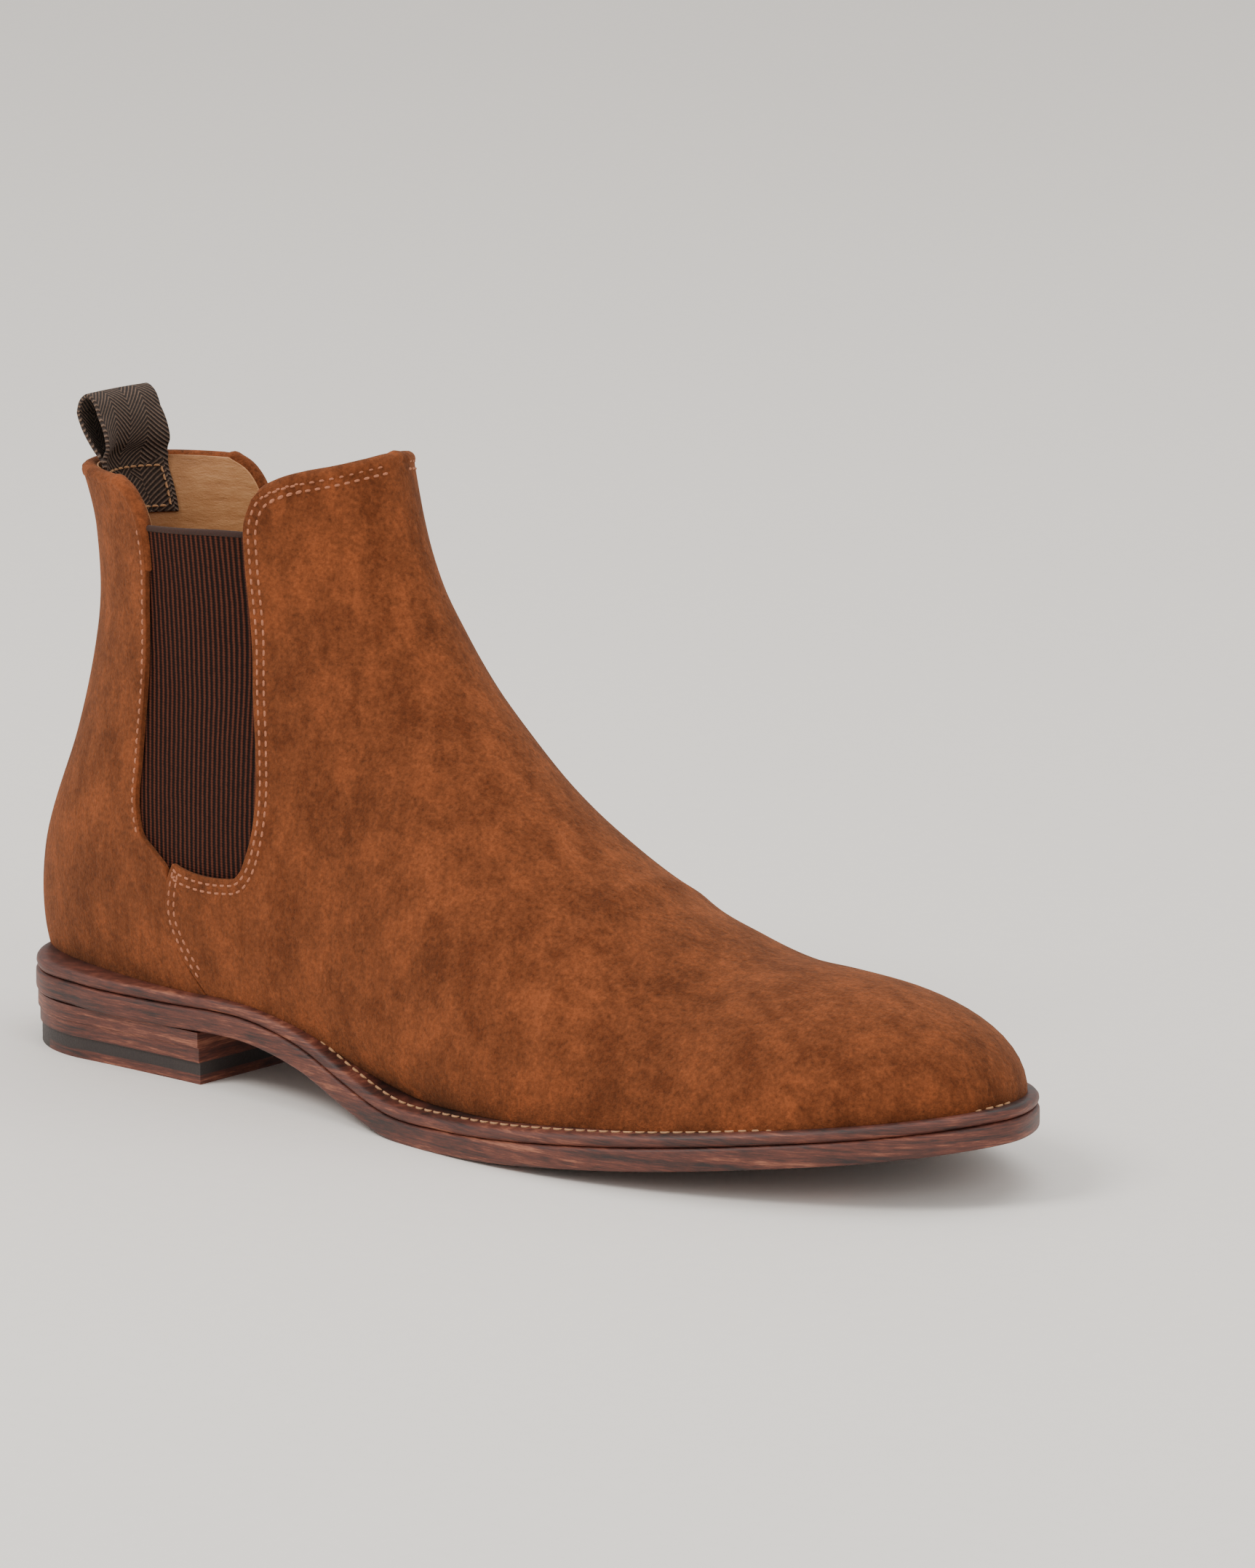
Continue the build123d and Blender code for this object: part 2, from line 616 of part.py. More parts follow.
pull_tab_ends.part.label = "pull_tab_ends"
export_step(pull_tab_ends.part, "parts/pull_tab_ends.step")
pull_tab_loop.part.label = "pull_tab_loop"
export_step(pull_tab_loop.part, "parts/pull_tab_loop.step")
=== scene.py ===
import math

import bmesh
import bpy
import numpy as np
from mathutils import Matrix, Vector


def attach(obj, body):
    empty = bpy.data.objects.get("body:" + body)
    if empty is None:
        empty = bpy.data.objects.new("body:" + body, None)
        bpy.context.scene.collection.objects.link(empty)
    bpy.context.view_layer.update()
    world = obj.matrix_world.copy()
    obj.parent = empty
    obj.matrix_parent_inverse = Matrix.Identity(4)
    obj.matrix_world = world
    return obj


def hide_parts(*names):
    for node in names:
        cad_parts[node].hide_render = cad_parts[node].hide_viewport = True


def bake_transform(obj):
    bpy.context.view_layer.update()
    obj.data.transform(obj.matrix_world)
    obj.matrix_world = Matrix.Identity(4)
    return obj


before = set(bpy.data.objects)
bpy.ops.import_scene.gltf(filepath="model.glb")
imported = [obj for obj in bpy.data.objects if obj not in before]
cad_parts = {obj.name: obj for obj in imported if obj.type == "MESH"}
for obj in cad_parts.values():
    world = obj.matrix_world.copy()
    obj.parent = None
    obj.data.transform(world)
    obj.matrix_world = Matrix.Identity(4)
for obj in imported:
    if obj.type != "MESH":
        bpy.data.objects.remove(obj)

bl_info = {
    "name": "Chelsea boot builder",
    "version": (1, 0, 0),
    "blender": (4, 5, 0),
    "location": "View3D > Sidebar > Boot",
    "description": "Builds a suede chelsea boot on its CAD frame",
    "category": "Object",
}

MM = 0.001
HEEL_BACK = -36.5

# ---- the boot's form -------------------------------------------------------------------
# Girths fan out from a line ahead of the ankle, and stand upright ahead of it. A girth is
# named by its angle behind straight down, or by minus its distance ahead of the line.
PIVOT = 190.0
GIRTHS = np.array((
    # girth, near, far, half-width, shift, widest
    (90, 83.0, 188.0, 28.5, 0.0, 0.5), (80, 84.5, 187.0, 27.5, 0.0, 0.5),
    (71, 85.5, 185.5, 26.5, 0.0, 0.5), (64, 87.0, 195.5, 26.0, 0.0, 0.5),
    (58, 89.0, 216.5, 26.5, 0.0, 0.5), (53, 91.0, 244.5, 28.0, 0.0, 0.5),
    (48, 93.5, 259.0, 30.5, 0.0, 0.5), (42, 96.0, 255.5, 33.0, 0.0, 0.534),
    (34, 99.5, 240.0, 34.0, -0.5, 0.579), (25, 104.0, 216.5, 35.0, -1.5, 0.629),
    (16, 111.0, 203.0, 37.5, -2.0, 0.68), (8, 118.5, 201.5, 40.5, -1.5, 0.68),
    (0, 127.0, 203.5, 43.0, 0.0, 0.68), (-19, 136.8, 204.5, 45.5, 2.5, 0.68),
    (-35, 141.6, 205.0, 46.5, 4.0, 0.66), (-50, 141.9, 201.3, 44.6, 4.1, 0.65),
    (-71, 141.1, 196.0, 41.8, 4.3, 0.63), (-107, 140.0, 187.0, 37.0, 4.5, 0.6),
))[::-1]
TOE_START, TOE_TIP, TOE_MIDDLE, TOE_ROUNDNESS = -35.0, -107.0, 166.0, 2.2
SUEDE_SKIN, LINING_SKIN, WALL = 1.6, 3.1, 4.3

UNDERSIDE = ((-20, 13.4), (60, 13.4), (92, 13.4), (110, 10.0), (127, 4.2), (145, 0.0),
             (167, 0.0), (210, 3.4), (255, 8.6), (302, 15.0), (320, 18.0))
OUTSOLE, WELT = 5.8, 3.1
TOPLINE = ((0, 147.0), (24, 148.3), (36, 147.5), (44.3, 142), (48, 136.6), (64, 137.6),
           (80, 139.4), (82.5, 148.0), (90, 153.2), (100, 155.7), (111, 159.6), (120, 162))
GORE_FRONT = ((87.0, 57.0), (89.3, 64.6), (89.9, 75.0), (88.2, 86.5), (84.9, 101.7),
              (82.6, 117.2), (80.6, 132.9), (80.4, 142.1), (82.5, 148.0))
GORE_BOTTOM = ((63.0, 55.0), (66.0, 54.2), (71.0, 53.5), (80.5, 53.7), (85.0, 54.6), (87.0, 57.0))
VAMP_TOP = ((82.5, 148.0), (84.6, 150.4), (88.5, 152.7), (94.6, 154.8), (101.2, 156.4),
            (107.5, 158.4), (112.0, 160.0))
SEAM = ((63.0, 55.0), (61.3, 51.3), (60.4, 46.0), (60.6, 40.5), (63.6, 34.5), (67.6, 29.0),
        (71.5, 24.8), (74.0, 22.0))
QUARTER_EDGE = ((74.0, 22.0), (69.5, 27.0), (65.0, 33.0), (61.5, 40.0), (61.0, 47.0),
                (61.0, 52.5), (56.0, 56.6), (50.5, 60.5), (48.5, 66.0), (48.3, 80.0),
                (48.6, 98.0), (47.8, 118.0), (47.2, 131.0), (45.6, 139.0), (41.5, 144.6),
                (36.0, 147.4))
HEEL_ARC, SPINE_TOE, SPINE_SHIFT = 31.5, 262.0, 3.0
SOLE_EDGE = ((31.5, -33.5), (73, -35), (95, -36.5), (120, -40), (150, -47), (180, -51),
             (207, -50.8), (235, -46), (260, -37.5), (280, -27.5), (295, -13.5), (302, 3),
             (297, 18), (286, 31), (268, 43), (243, 51), (215, 53), (190, 48.5), (165, 39.5),
             (140, 32.5), (118, 30), (95, 31), (73, 33), (31.5, 33.5), (14.7, 29.0),
             (2.5, 16.8), (-2, 0), (2.5, -16.8), (14.7, -29.0))


def hermite(knots, values, at):
    """Smooth curve through values at knots: a cubic in each gap, with the slope at a knot
    taken through its two neighbours. Values past the ends go on in a straight line."""
    knots, values = np.asarray(knots, float), np.asarray(values, float)
    at = np.asarray(at, float)
    slope = np.gradient(values, knots, axis=0)
    cell = np.clip(np.searchsorted(knots, at) - 1, 0, len(knots) - 2)
    gap = knots[cell + 1] - knots[cell]
    t = np.clip((at - knots[cell]) / gap, 0, 1)
    beyond = at - (knots[cell] + t * gap)
    if values.ndim > 1:
        t, gap, beyond = t[..., None], gap[..., None], beyond[..., None]
    bend = (2 * t**3 - 3 * t**2 + 1) * values[cell] + (t**3 - 2 * t**2 + t) * gap * slope[cell]
    bend = bend + (3 * t**2 - 2 * t**3) * values[cell + 1] + (t**3 - t**2) * gap * slope[cell + 1]
    end = np.where(beyond > 0, slope[cell + 1], slope[cell]) if values.ndim > 1 else np.where(
        beyond > 0, slope[cell + 1], slope[cell])
    return bend + beyond * end


def line(points, count):
    """Points evenly spaced along a smooth curve through the given ones."""
    points = np.asarray(points, float)
    run = np.r_[0, np.cumsum(np.linalg.norm(np.diff(points, axis=0), axis=1))]
    fine = hermite(run, points, np.linspace(0, run[-1], 40 * len(points)))
    run = np.r_[0, np.cumsum(np.linalg.norm(np.diff(fine, axis=0), axis=1))]
    at = np.linspace(0, run[-1], count)
    return np.stack([np.interp(at, run, fine[:, k]) for k in range(fine.shape[1])], -1)


def girth_at(girth):
    """Near, far, half-width, shift and widest share of the girth with this name."""
    return np.moveaxis(hermite(GIRTHS[:, 0], GIRTHS[:, 1:], girth), -1, 0)


def toe_size(girth, inset):
    """(1 - s^n)^(1/n) over the toe's length s, and 1 behind it."""
    length = TOE_START - TOE_TIP - inset
    along = np.clip((TOE_START - girth) / length, 0, 1)
    return (1 - along**TOE_ROUNDNESS) ** (1 / TOE_ROUNDNESS)


def skin(girth, turn, inset):
    """Point of the form: x and z lie on the girth's line at widest*(1-cos turn), or past the
    widest point at widest-(1-widest)*cos turn; y is shift + half-width*sin turn."""
    near, far, half, shift, widest = girth_at(girth)
    size = toe_size(girth, inset)
    share = np.where(np.cos(turn) > 0, widest * (1 - np.cos(turn)),
                     widest - (1 - widest) * np.cos(turn))
    low = TOE_MIDDLE + (near + inset - TOE_MIDDLE) * size
    high = TOE_MIDDLE + (far - inset - TOE_MIDDLE) * size
    toe = girth < TOE_START
    low, high = np.where(toe, low, near + inset), np.where(toe, high, far - inset)
    out = low + (high - low) * share
    lean = np.radians(np.maximum(girth, 0))
    x = PIVOT + np.maximum(-girth, 0) - out * np.sin(lean)
    z = PIVOT - out * np.cos(lean)
    y = shift + (half - inset) * size * np.sin(turn)
    return np.stack(np.broadcast_arrays(x, y, z), -1)


def locate(x, z, inset):
    """Girth and turn of a side-view point, the reverse of skin(); turn 0 past the front
    and pi past the back."""
    x, z = np.broadcast_arrays(np.asarray(x, float), np.asarray(z, float))
    girth = np.where(x > PIVOT, PIVOT - x, np.degrees(np.arctan2(PIVOT - x, PIVOT - z)))
    out = np.where(x > PIVOT, PIVOT - z, np.hypot(PIVOT - x, PIVOT - z))
    near, far, half, shift, widest = girth_at(girth)
    size = np.maximum(toe_size(girth, inset), 1e-4)
    toe = girth < TOE_START
    low = np.where(toe, TOE_MIDDLE + (near + inset - TOE_MIDDLE) * size, near + inset)
    high = np.where(toe, TOE_MIDDLE + (far - inset - TOE_MIDDLE) * size, far - inset)
    share = np.clip((out - low) / (high - low), 0, 1)
    lean = np.where(share < widest, 1 - share / widest, -(share - widest) / (1 - widest))
    return girth, np.arccos(np.clip(lean, -1, 1))


def half_width(x, z, inset):
    """Distance of the form's side from y = shift at a side-view point, and the shift."""
    girth, turn = locate(x, z, inset)
    near, far, half, shift, widest = girth_at(girth)
    return (half - inset) * toe_size(girth, inset) * np.sin(turn), shift


def cast(origin, way, inset, reach=120.0):
    """Where rays leave the form, by halving: inside means |y - shift| under half_width."""
    low, high = np.zeros(origin.shape[:-1]), np.full(origin.shape[:-1], reach)
    for _ in range(34):
        middle = (low + high) / 2
        point = origin + way * middle[..., None]
        wide, shift = half_width(point[..., 0], point[..., 2], inset)
        within = np.abs(point[..., 1] - shift) < wide - 1e-6
        low, high = np.where(within, middle, low), np.where(within, high, middle)
    return origin + way * low[..., None]


def under(x):
    knots, values = np.array(UNDERSIDE, float).T
    return hermite(knots, values, x)


def welt_top(x):
    return under(x) + OUTSOLE + WELT


# ---- meshes --------------------------------------------------------------------------------
def grid_faces(rows, columns, close=False, start=0):
    """Quads of a grid of vertices numbered row by row; close joins the last row to the first."""
    a = np.arange(rows * columns).reshape(rows, columns)
    if close:
        a = np.vstack((a, a[:1]))
    quads = np.stack((a[:-1, :-1], a[1:, :-1], a[1:, 1:], a[:-1, 1:]), -1)
    return quads.reshape(-1, 4) + start


def make_object(name, parts, weld=0.02, smooth=True):
    """One mesh object from (vertices in pattern mm, faces) parts, welded where they meet."""
    count, vertices, faces = 0, [], []
    for points, quads in parts:
        points = points.reshape(-1, 3)
        vertices.append(points)
        faces.extend((quads + count).tolist())
        count += len(points)
    points = (np.vstack(vertices) + (HEEL_BACK, 0, 0)) * MM
    mesh = bpy.data.meshes.new(name)
    mesh.from_pydata(points.tolist(), [], faces)
    piece = bpy.data.objects.new(name, mesh)
    bpy.context.scene.collection.objects.link(piece)
    work = bmesh.new()
    work.from_mesh(mesh)
    if weld:
        bmesh.ops.remove_doubles(work, verts=work.verts, dist=weld * MM)
    bmesh.ops.dissolve_degenerate(work, edges=work.edges, dist=1e-6)
    bmesh.ops.recalc_face_normals(work, faces=work.faces)
    work.to_mesh(mesh)
    work.free()
    mesh.shade_smooth() if smooth else None
    return piece


def outward(piece, inside):
    """Turn an open skin's faces away from an inside point."""
    mesh = piece.data
    away = sum((f.center - Vector(inside)).dot(f.normal) * f.area for f in mesh.polygons)
    if away < 0:
        mesh.flip_normals()


def thicken(piece, thickness, rounding, even=True):
    """Solid skin under the surface, with rounded cut edges."""
    solid = piece.modifiers.new("thickness", "SOLIDIFY")
    solid.thickness, solid.offset, solid.use_even_offset = thickness * MM, -1.0, even
    if rounding:
        bevel = piece.modifiers.new("rounding", "BEVEL")
        bevel.width, bevel.segments, bevel.limit_method = rounding * MM, 3, "ANGLE"
        bevel.angle_limit = math.radians(50)
        bevel.use_clamp_overlap = True
    for modifier in list(piece.modifiers):
        with bpy.context.temp_override(object=piece, active_object=piece):
            bpy.ops.object.modifier_apply(modifier=modifier.name)
    piece.data.shade_smooth()


def side_offset(path, step):
    """A side-view path moved sideways by a step, to its left as it runs."""
    way = np.gradient(path, axis=0)
    way /= np.linalg.norm(way, axis=1)[:, None]
    return path + step * np.stack((-way[:, 1], way[:, 0]), -1)


def on_side(path, hand, inset):
    """Points of the form at side-view points, on one side of the boot."""
    wide, shift = half_width(path[:, 0], path[:, 1], inset)
    return np.stack((path[:, 0], shift + hand * wide, path[:, 1]), -1)


def stitches(path, pitch, length, radius, sink):
    """Capsule-shaped stitches lying along a path, each half sunk into the surface. Stitch k
    is centred at distance (k + 1/2) * pitch along it."""
    run = np.r_[0, np.cumsum(np.linalg.norm(np.diff(path, axis=0), axis=1))]
    at = (np.arange(int(run[-1] / pitch)) + 0.5) * pitch
    ends = [np.stack([np.interp(at + d, run, path[:, k]) for k in range(3)], -1)
            for d in (-length / 2, length / 2)]
    along = (ends[1] - ends[0]) / np.linalg.norm(ends[1] - ends[0], axis=1)[:, None]
    centre = (ends[0] + ends[1]) / 2
    inward = np.array((62.0, 0.0, 90.0)) - centre
    inward[:, 2] *= 0.2
    inward -= along * (inward * along).sum(1)[:, None]
    inward /= np.linalg.norm(inward, axis=1)[:, None]
    across = np.cross(along, inward)
    t = np.linspace(-1, 1, 7)
    a = np.linspace(0, 2 * np.pi, 7)[:-1]
    swell = np.sqrt(np.maximum(1 - np.abs(t) ** 3, 0.02))
    ring = np.stack(np.broadcast_arrays(
        t[:, None] * length / 2, np.cos(a) * radius * 1.15 * swell[:, None],
        np.sin(a) * radius * swell[:, None] + (sink + radius * 1.4 * np.abs(t)**3)[:, None]), -1)
    points = centre[:, None, None] + sum(
        ring[None, :, :, k, None] * way[:, None, None]
        for k, way in enumerate((along, across, inward)))
    base = np.arange(42).reshape(7, 6)
    loop = np.hstack((base, base[:, :1]))
    quads = np.stack((loop[:-1, :-1], loop[1:, :-1], loop[1:, 1:], loop[:-1, 1:]), -1).reshape(-1, 4)
    faces = [list(q) for q in quads] + [list(base[0]), list(base[-1][::-1])]
    count = len(centre)
    all_faces = [[v + 42 * k for v in f] for k in range(count) for f in faces]
    return points.reshape(-1, 3), all_faces


def stitch_object(name, paths, pitch, length, radius, sink=0.1):
    """One object of all the stitch rows along some paths."""
    vertices, faces, count = [], [], 0
    for path in paths:
        points, quads = stitches(path, pitch, length, radius, sink)
        vertices.append(points)
        faces += [[v + count for v in f] for f in quads]
        count += len(points)
    mesh = bpy.data.meshes.new(name)
    mesh.from_pydata(((np.vstack(vertices) + (HEEL_BACK, 0, 0)) * MM).tolist(), [], faces)
    piece = bpy.data.objects.new(name, mesh)
    bpy.context.scene.collection.objects.link(piece)
    work = bmesh.new()
    work.from_mesh(mesh)
    bmesh.ops.recalc_face_normals(work, faces=work.faces)
    work.to_mesh(mesh)
    work.free()
    mesh.shade_smooth()
    return piece


# ---- skins of the upper ------------------------------------------------------------------
def vamp_skin(inset):
    """Grids of the vamp: girths from its rear edge or feather over the ridge to the other
    side, two patches under the gores, and a dome over the toe."""
    rear = line(GORE_FRONT[::-1], 64)
    cut = line(((87.0, 57.0), (91.0, 46.0), (95.5, 34.0), (99.0, float(welt_top(99.0)) - 0.3)), 26)
    x = np.linspace(99.0, 225.0, 84)
    feather = np.stack((x, welt_top(x) - 0.3), -1)
    border = np.vstack((rear, cut[1:], feather[1:]))
    girth, turn = locate(border[:, 0], border[:, 1], inset)
    girth[-1], half = -35.0, 26
    share = np.linspace(1, -1, 2 * half + 1)
    turns = turn[:, None] * share
    top = line(VAMP_TOP, 60)
    top_girth, top_turn = locate(top[:, 0], top[:, 1], inset)
    order = np.argsort(top_turn)
    lift = np.interp(np.abs(turns[0]), top_turn[order], top_girth[order]) - girth[0]
    fade = np.exp(-np.arange(len(border)) / 7.0)
    body = skin(girth[:, None] + fade[:, None] * lift, turns, inset)
    parts = [(body, grid_faces(*body.shape[:2]))]

    lower_x = np.linspace(74.0, 99.0, 34)
    lower = np.stack((lower_x, welt_top(lower_x) - 0.3), -1)
    upper, seam = line(GORE_BOTTOM, 34), line(SEAM, 26)
    seam = seam + (lower[0] - seam[-1]) * np.linspace(0, 1, 26)[:, None] ** 2
    u, v = np.linspace(0, 1, 34)[:, None, None], np.linspace(0, 1, 26)[None, :, None]
    patch = (1 - v) * upper[:, None] + v * lower[:, None] + (1 - u) * seam[None] + u * cut[None]
    patch = patch - ((1 - u) * (1 - v) * upper[0] + u * (1 - v) * upper[-1]
                     + (1 - u) * v * lower[0] + u * v * lower[-1])
    for hand in (-1, 1):
        points = on_side(patch.reshape(-1, 2), hand, inset).reshape(34, 26, 3)
        parts.append((points, grid_faces(34, 26)))

    section = skin(np.full(half + 1, -35.0), turn[-1] * share[:half + 1], inset)
    core = np.array((225.0, 4.0, 24.0))
    rise = np.arctan2(section[:, 2] - core[2], np.abs(section[:, 1] - core[1]))
    height = (rise - rise[0]) / (np.pi / 2 - rise[0])
    plan = np.linspace(-np.pi / 2, np.pi / 2, 97)
    foot = np.full(97, rise[0])
    for _ in range(4):
        way = np.stack((np.cos(foot) * np.cos(plan), np.cos(foot) * np.sin(plan), np.sin(foot)), -1)
        edge = cast(np.broadcast_to(core, (97, 3)), way, inset)
        out = np.hypot(edge[:, 0] - core[0], edge[:, 1] - core[1])
        foot = np.arctan2(welt_top(edge[:, 0]) - 0.3 - core[2], out)
    foot[0] = foot[-1] = rise[0]
    lift = foot[:, None] + (np.pi / 2 - foot[:, None]) * height
    way = np.stack(np.broadcast_arrays(np.cos(lift) * np.cos(plan)[:, None],
                                       np.cos(lift) * np.sin(plan)[:, None], np.sin(lift)), -1)
    dome = cast(np.broadcast_to(core, way.shape), way, inset)
    dome[0, :], dome[-1, :] = section * (1, -1, 1) + (0, 2 * core[1], 0), section
    parts.append((dome, grid_faces(97, half + 1)))
    return parts


def quarter_skin(inset):
    """Grid of the quarter: each row runs level round the heel from its front edge on one
    side to the other, found by rays from the middle of the boot."""
    edge = line(QUARTER_EDGE, 110)
    share = (edge[:, 1] - edge[0, 1]) / (edge[-1, 1] - edge[0, 1])
    back = 22.0 + (147.0 - 22.0) * share
    turn = np.linspace(np.pi / 2, 1.5 * np.pi, 121)
    level = 1 - np.abs(np.sin(turn))
    level = level * level * (3 - 2 * level)
    z = edge[:, 1, None] + (back - edge[:, 1])[:, None] * level
    shift = half_width(edge[:, 0], edge[:, 1], inset)[1]
    origin = np.stack(np.broadcast_arrays(edge[:, 0, None], shift[:, None], z), -1)
    way = np.stack(np.broadcast_arrays(np.cos(turn), np.sin(turn), 0 * turn), -1)
    points = cast(origin, np.broadcast_to(way, origin.shape), inset)
    return [(points, grid_faces(110, 121))]


def gore_skin(hand, inset):
    """Grid of a gore: straight lines between its hidden front and rear edges."""
    u, v = np.linspace(0, 1, 90)[:, None], np.linspace(0, 1, 60)[None]
    z = 49.0 + (136.2 - 49.0) * v + 2.6 * u * v
    rear = np.interp(z, (49.0, 66.0, 140.0), (55.0, 43.5, 41.5))
    front = np.interp(z, (49.0, 60.0, 80.0, 100.0, 120.0, 140.0),
                      (84.0, 94.0, 95.5, 91.5, 88.0, 86.5))
    path = np.stack((rear + (front - rear) * u, z), -1).reshape(-1, 2)
    return [(on_side(path, hand, inset).reshape(90, 60, 3), grid_faces(90, 60))]


def tube(path, radius, count=10, squeeze=1.0, closed=False):
    """Round tube along a path, with ends drawn in; its section turns about the up axis."""
    way = np.gradient(path, axis=0)
    way /= np.linalg.norm(way, axis=1)[:, None]
    side = np.cross(way, (0, 0, 1.0))
    side /= np.linalg.norm(side, axis=1)[:, None]
    rise = np.cross(side, way)
    a = np.linspace(0, 2 * np.pi, count + 1)[:-1]
    size = np.full(len(path), radius)
    size[[0, -1]] *= 0.05
    size[[1, -2]] *= 0.8
    ring = path[:, None] + size[:, None, None] * (
        np.cos(a)[:, None] * side[:, None] * squeeze + np.sin(a)[:, None] * rise[:, None])
    faces = grid_faces(count, len(path), close=True)
    return [(np.swapaxes(ring, 0, 1), faces)]


# ---- the sole -----------------------------------------------------------------------------
def sole_line(count):
    """The sole's outline, closed and smooth, evenly sampled."""
    edge = np.array(SOLE_EDGE)
    long = np.vstack((edge[-3:], edge, edge[:4]))
    run = np.r_[0, np.cumsum(np.linalg.norm(np.diff(long, axis=0), axis=1))]
    at = np.linspace(run[3], run[3 + len(edge)], count + 1)[:-1]
    return hermite(run, long, at)


def sole_slab(rows, count=420, clip=None):
    """Closed band round the sole: each row stands in from the outline, by a distance and by a
    share of the way to the spine, at a height over the underside."""
    edge = sole_line(count)
    if clip is not None:
        edge[:, 0] = np.minimum(edge[:, 0], clip)
    ease = np.clip((edge[:, 0] - 150) / 112, 0, 1)
    spine = np.stack((np.clip(edge[:, 0], HEEL_ARC, SPINE_TOE), SPINE_SHIFT * ease), -1)
    way = spine - edge
    far = np.linalg.norm(way, axis=1)[:, None]
    rings = []
    for inset, share, height in rows:
        flat = edge + way / far * np.minimum(inset, far) * (1 - share) + way * share
        rings.append(np.column_stack((flat, under(flat[:, 0]) + height)))
    rings = np.stack(rings, 1)
    return [(rings, grid_faces(count, len(rows), close=True))]


def welt_path(inset, start, end, count=500):
    """Points on the welt, stepped in from the outline, between two distances ahead."""
    edge = sole_line(count)
    ease = np.clip((edge[:, 0] - 150) / 112, 0, 1)
    spine = np.stack((np.clip(edge[:, 0], HEEL_ARC, SPINE_TOE), SPINE_SHIFT * ease), -1)
    way = (spine - edge) / np.linalg.norm(spine - edge, axis=1)[:, None]
    flat = edge + way * inset
    flat = flat[(flat[:, 0] > start) & (flat[:, 0] < end)]
    return np.column_stack((flat, welt_top(flat[:, 0])))


# ---- materials ----------------------------------------------------------------------------
class Nodes:
    """A small helper that adds and joins nodes in a material or node group."""

    def __init__(self, tree):
        self.tree = tree

    def add(self, kind, inputs=None, **settings):
        node = self.tree.nodes.new("ShaderNode" + kind)
        for key, value in settings.items():
            setattr(node, key, value)
        for key, value in (inputs or {}).items():
            if isinstance(value, bpy.types.NodeSocket):
                self.tree.links.new(value, node.inputs[key])
            else:
                node.inputs[key].default_value = value
        return node

    def math(self, operation, a, b=0.0, c=0.0):
        return self.add("Math", {0: a, 1: b, 2: c}, operation=operation).outputs[0]

    def noise(self, vector, scale, detail=3.0, rough=0.6, stretch=None):
        if stretch:
            vector = self.add("Mapping", {"Vector": vector, "Scale": stretch}).outputs[0]
        node = self.add("TexNoise", {"Vector": vector, "Scale": scale, "Detail": detail,
                                     "Roughness": rough})
        return node.outputs["Fac"]

    def ramp(self, value, stops):
        node = self.add("ValToRGB", {"Fac": value})
        ramp = node.color_ramp
        while len(ramp.elements) < len(stops):
            ramp.elements.new(0.5)
        for element, (place, color) in zip(ramp.elements, stops):
            element.position = place
            element.color = (*color, 1.0)
        return node.outputs["Color"]

    def mix(self, factor, a, b, kind="MIX"):
        node = self.add("Mix", {0: factor, 6: a, 7: b}, data_type="RGBA", blend_type=kind)
        return node.outputs[2]


def rgb(r, g, b):
    """Linear colour of display values from 0 to 255."""
    return tuple(((c / 255 + 0.055) / 1.055) ** 2.4 if c > 10 else c / 3294.6 for c in (r, g, b))


def grain_group():
    """Shared group: uneven colour and fine grain over any base colour."""
    tree = bpy.data.node_groups.new("grain", "ShaderNodeTree")
    face = tree.interface
    for name, kind, value in (("Color", "NodeSocketColor", (0.2, 0.1, 0.05, 1)),
                              ("Patch Size", "NodeSocketFloat", 40.0),
                              ("Grain Size", "NodeSocketFloat", 900.0),
                              ("Patch Depth", "NodeSocketFloat", 0.3),
                              ("Grain Depth", "NodeSocketFloat", 0.3),
                              ("Edge Light", "NodeSocketFloat", 0.3)):
        socket = face.new_socket(name, in_out="INPUT", socket_type=kind)
        socket.default_value = value
    face.new_socket("Color", in_out="OUTPUT", socket_type="NodeSocketColor")
    face.new_socket("Height", in_out="OUTPUT", socket_type="NodeSocketFloat")
    n = Nodes(tree)
    given = tree.nodes.new("NodeGroupInput")
    result = tree.nodes.new("NodeGroupOutput")
    place = n.add("TexCoord").outputs["Object"]
    patch = n.add("TexNoise", {"Vector": place, "Scale": given.outputs["Patch Size"],
                               "Detail": 4.0, "Roughness": 0.62}).outputs["Fac"]
    grain = n.add("TexNoise", {"Vector": place, "Scale": given.outputs["Grain Size"],
                               "Detail": 3.0, "Roughness": 0.7}).outputs["Fac"]
    def swing(value, depth):
        centred = n.math("SUBTRACT", value, 0.5)
        return n.math("ADD", n.math("MULTIPLY", n.math("MULTIPLY", centred, 2.6), depth), 1.0)
    worn = n.add("MapRange", {"Value": n.add("NewGeometry").outputs["Pointiness"],
                              1: 0.53, 2: 0.62, 3: 0.0, 4: 1.0}).outputs[0]
    gain = n.math("MULTIPLY", swing(patch, given.outputs["Patch Depth"]),
                  swing(grain, given.outputs["Grain Depth"]))
    gain = n.math("ADD", gain, n.math("MULTIPLY", worn, given.outputs["Edge Light"]))
    scaled = n.add("VectorMath", {0: given.outputs["Color"], "Scale": gain}, operation="SCALE")
    tree.links.new(scaled.outputs[0], result.inputs["Color"])
    tree.links.new(grain, result.inputs["Height"])
    return tree


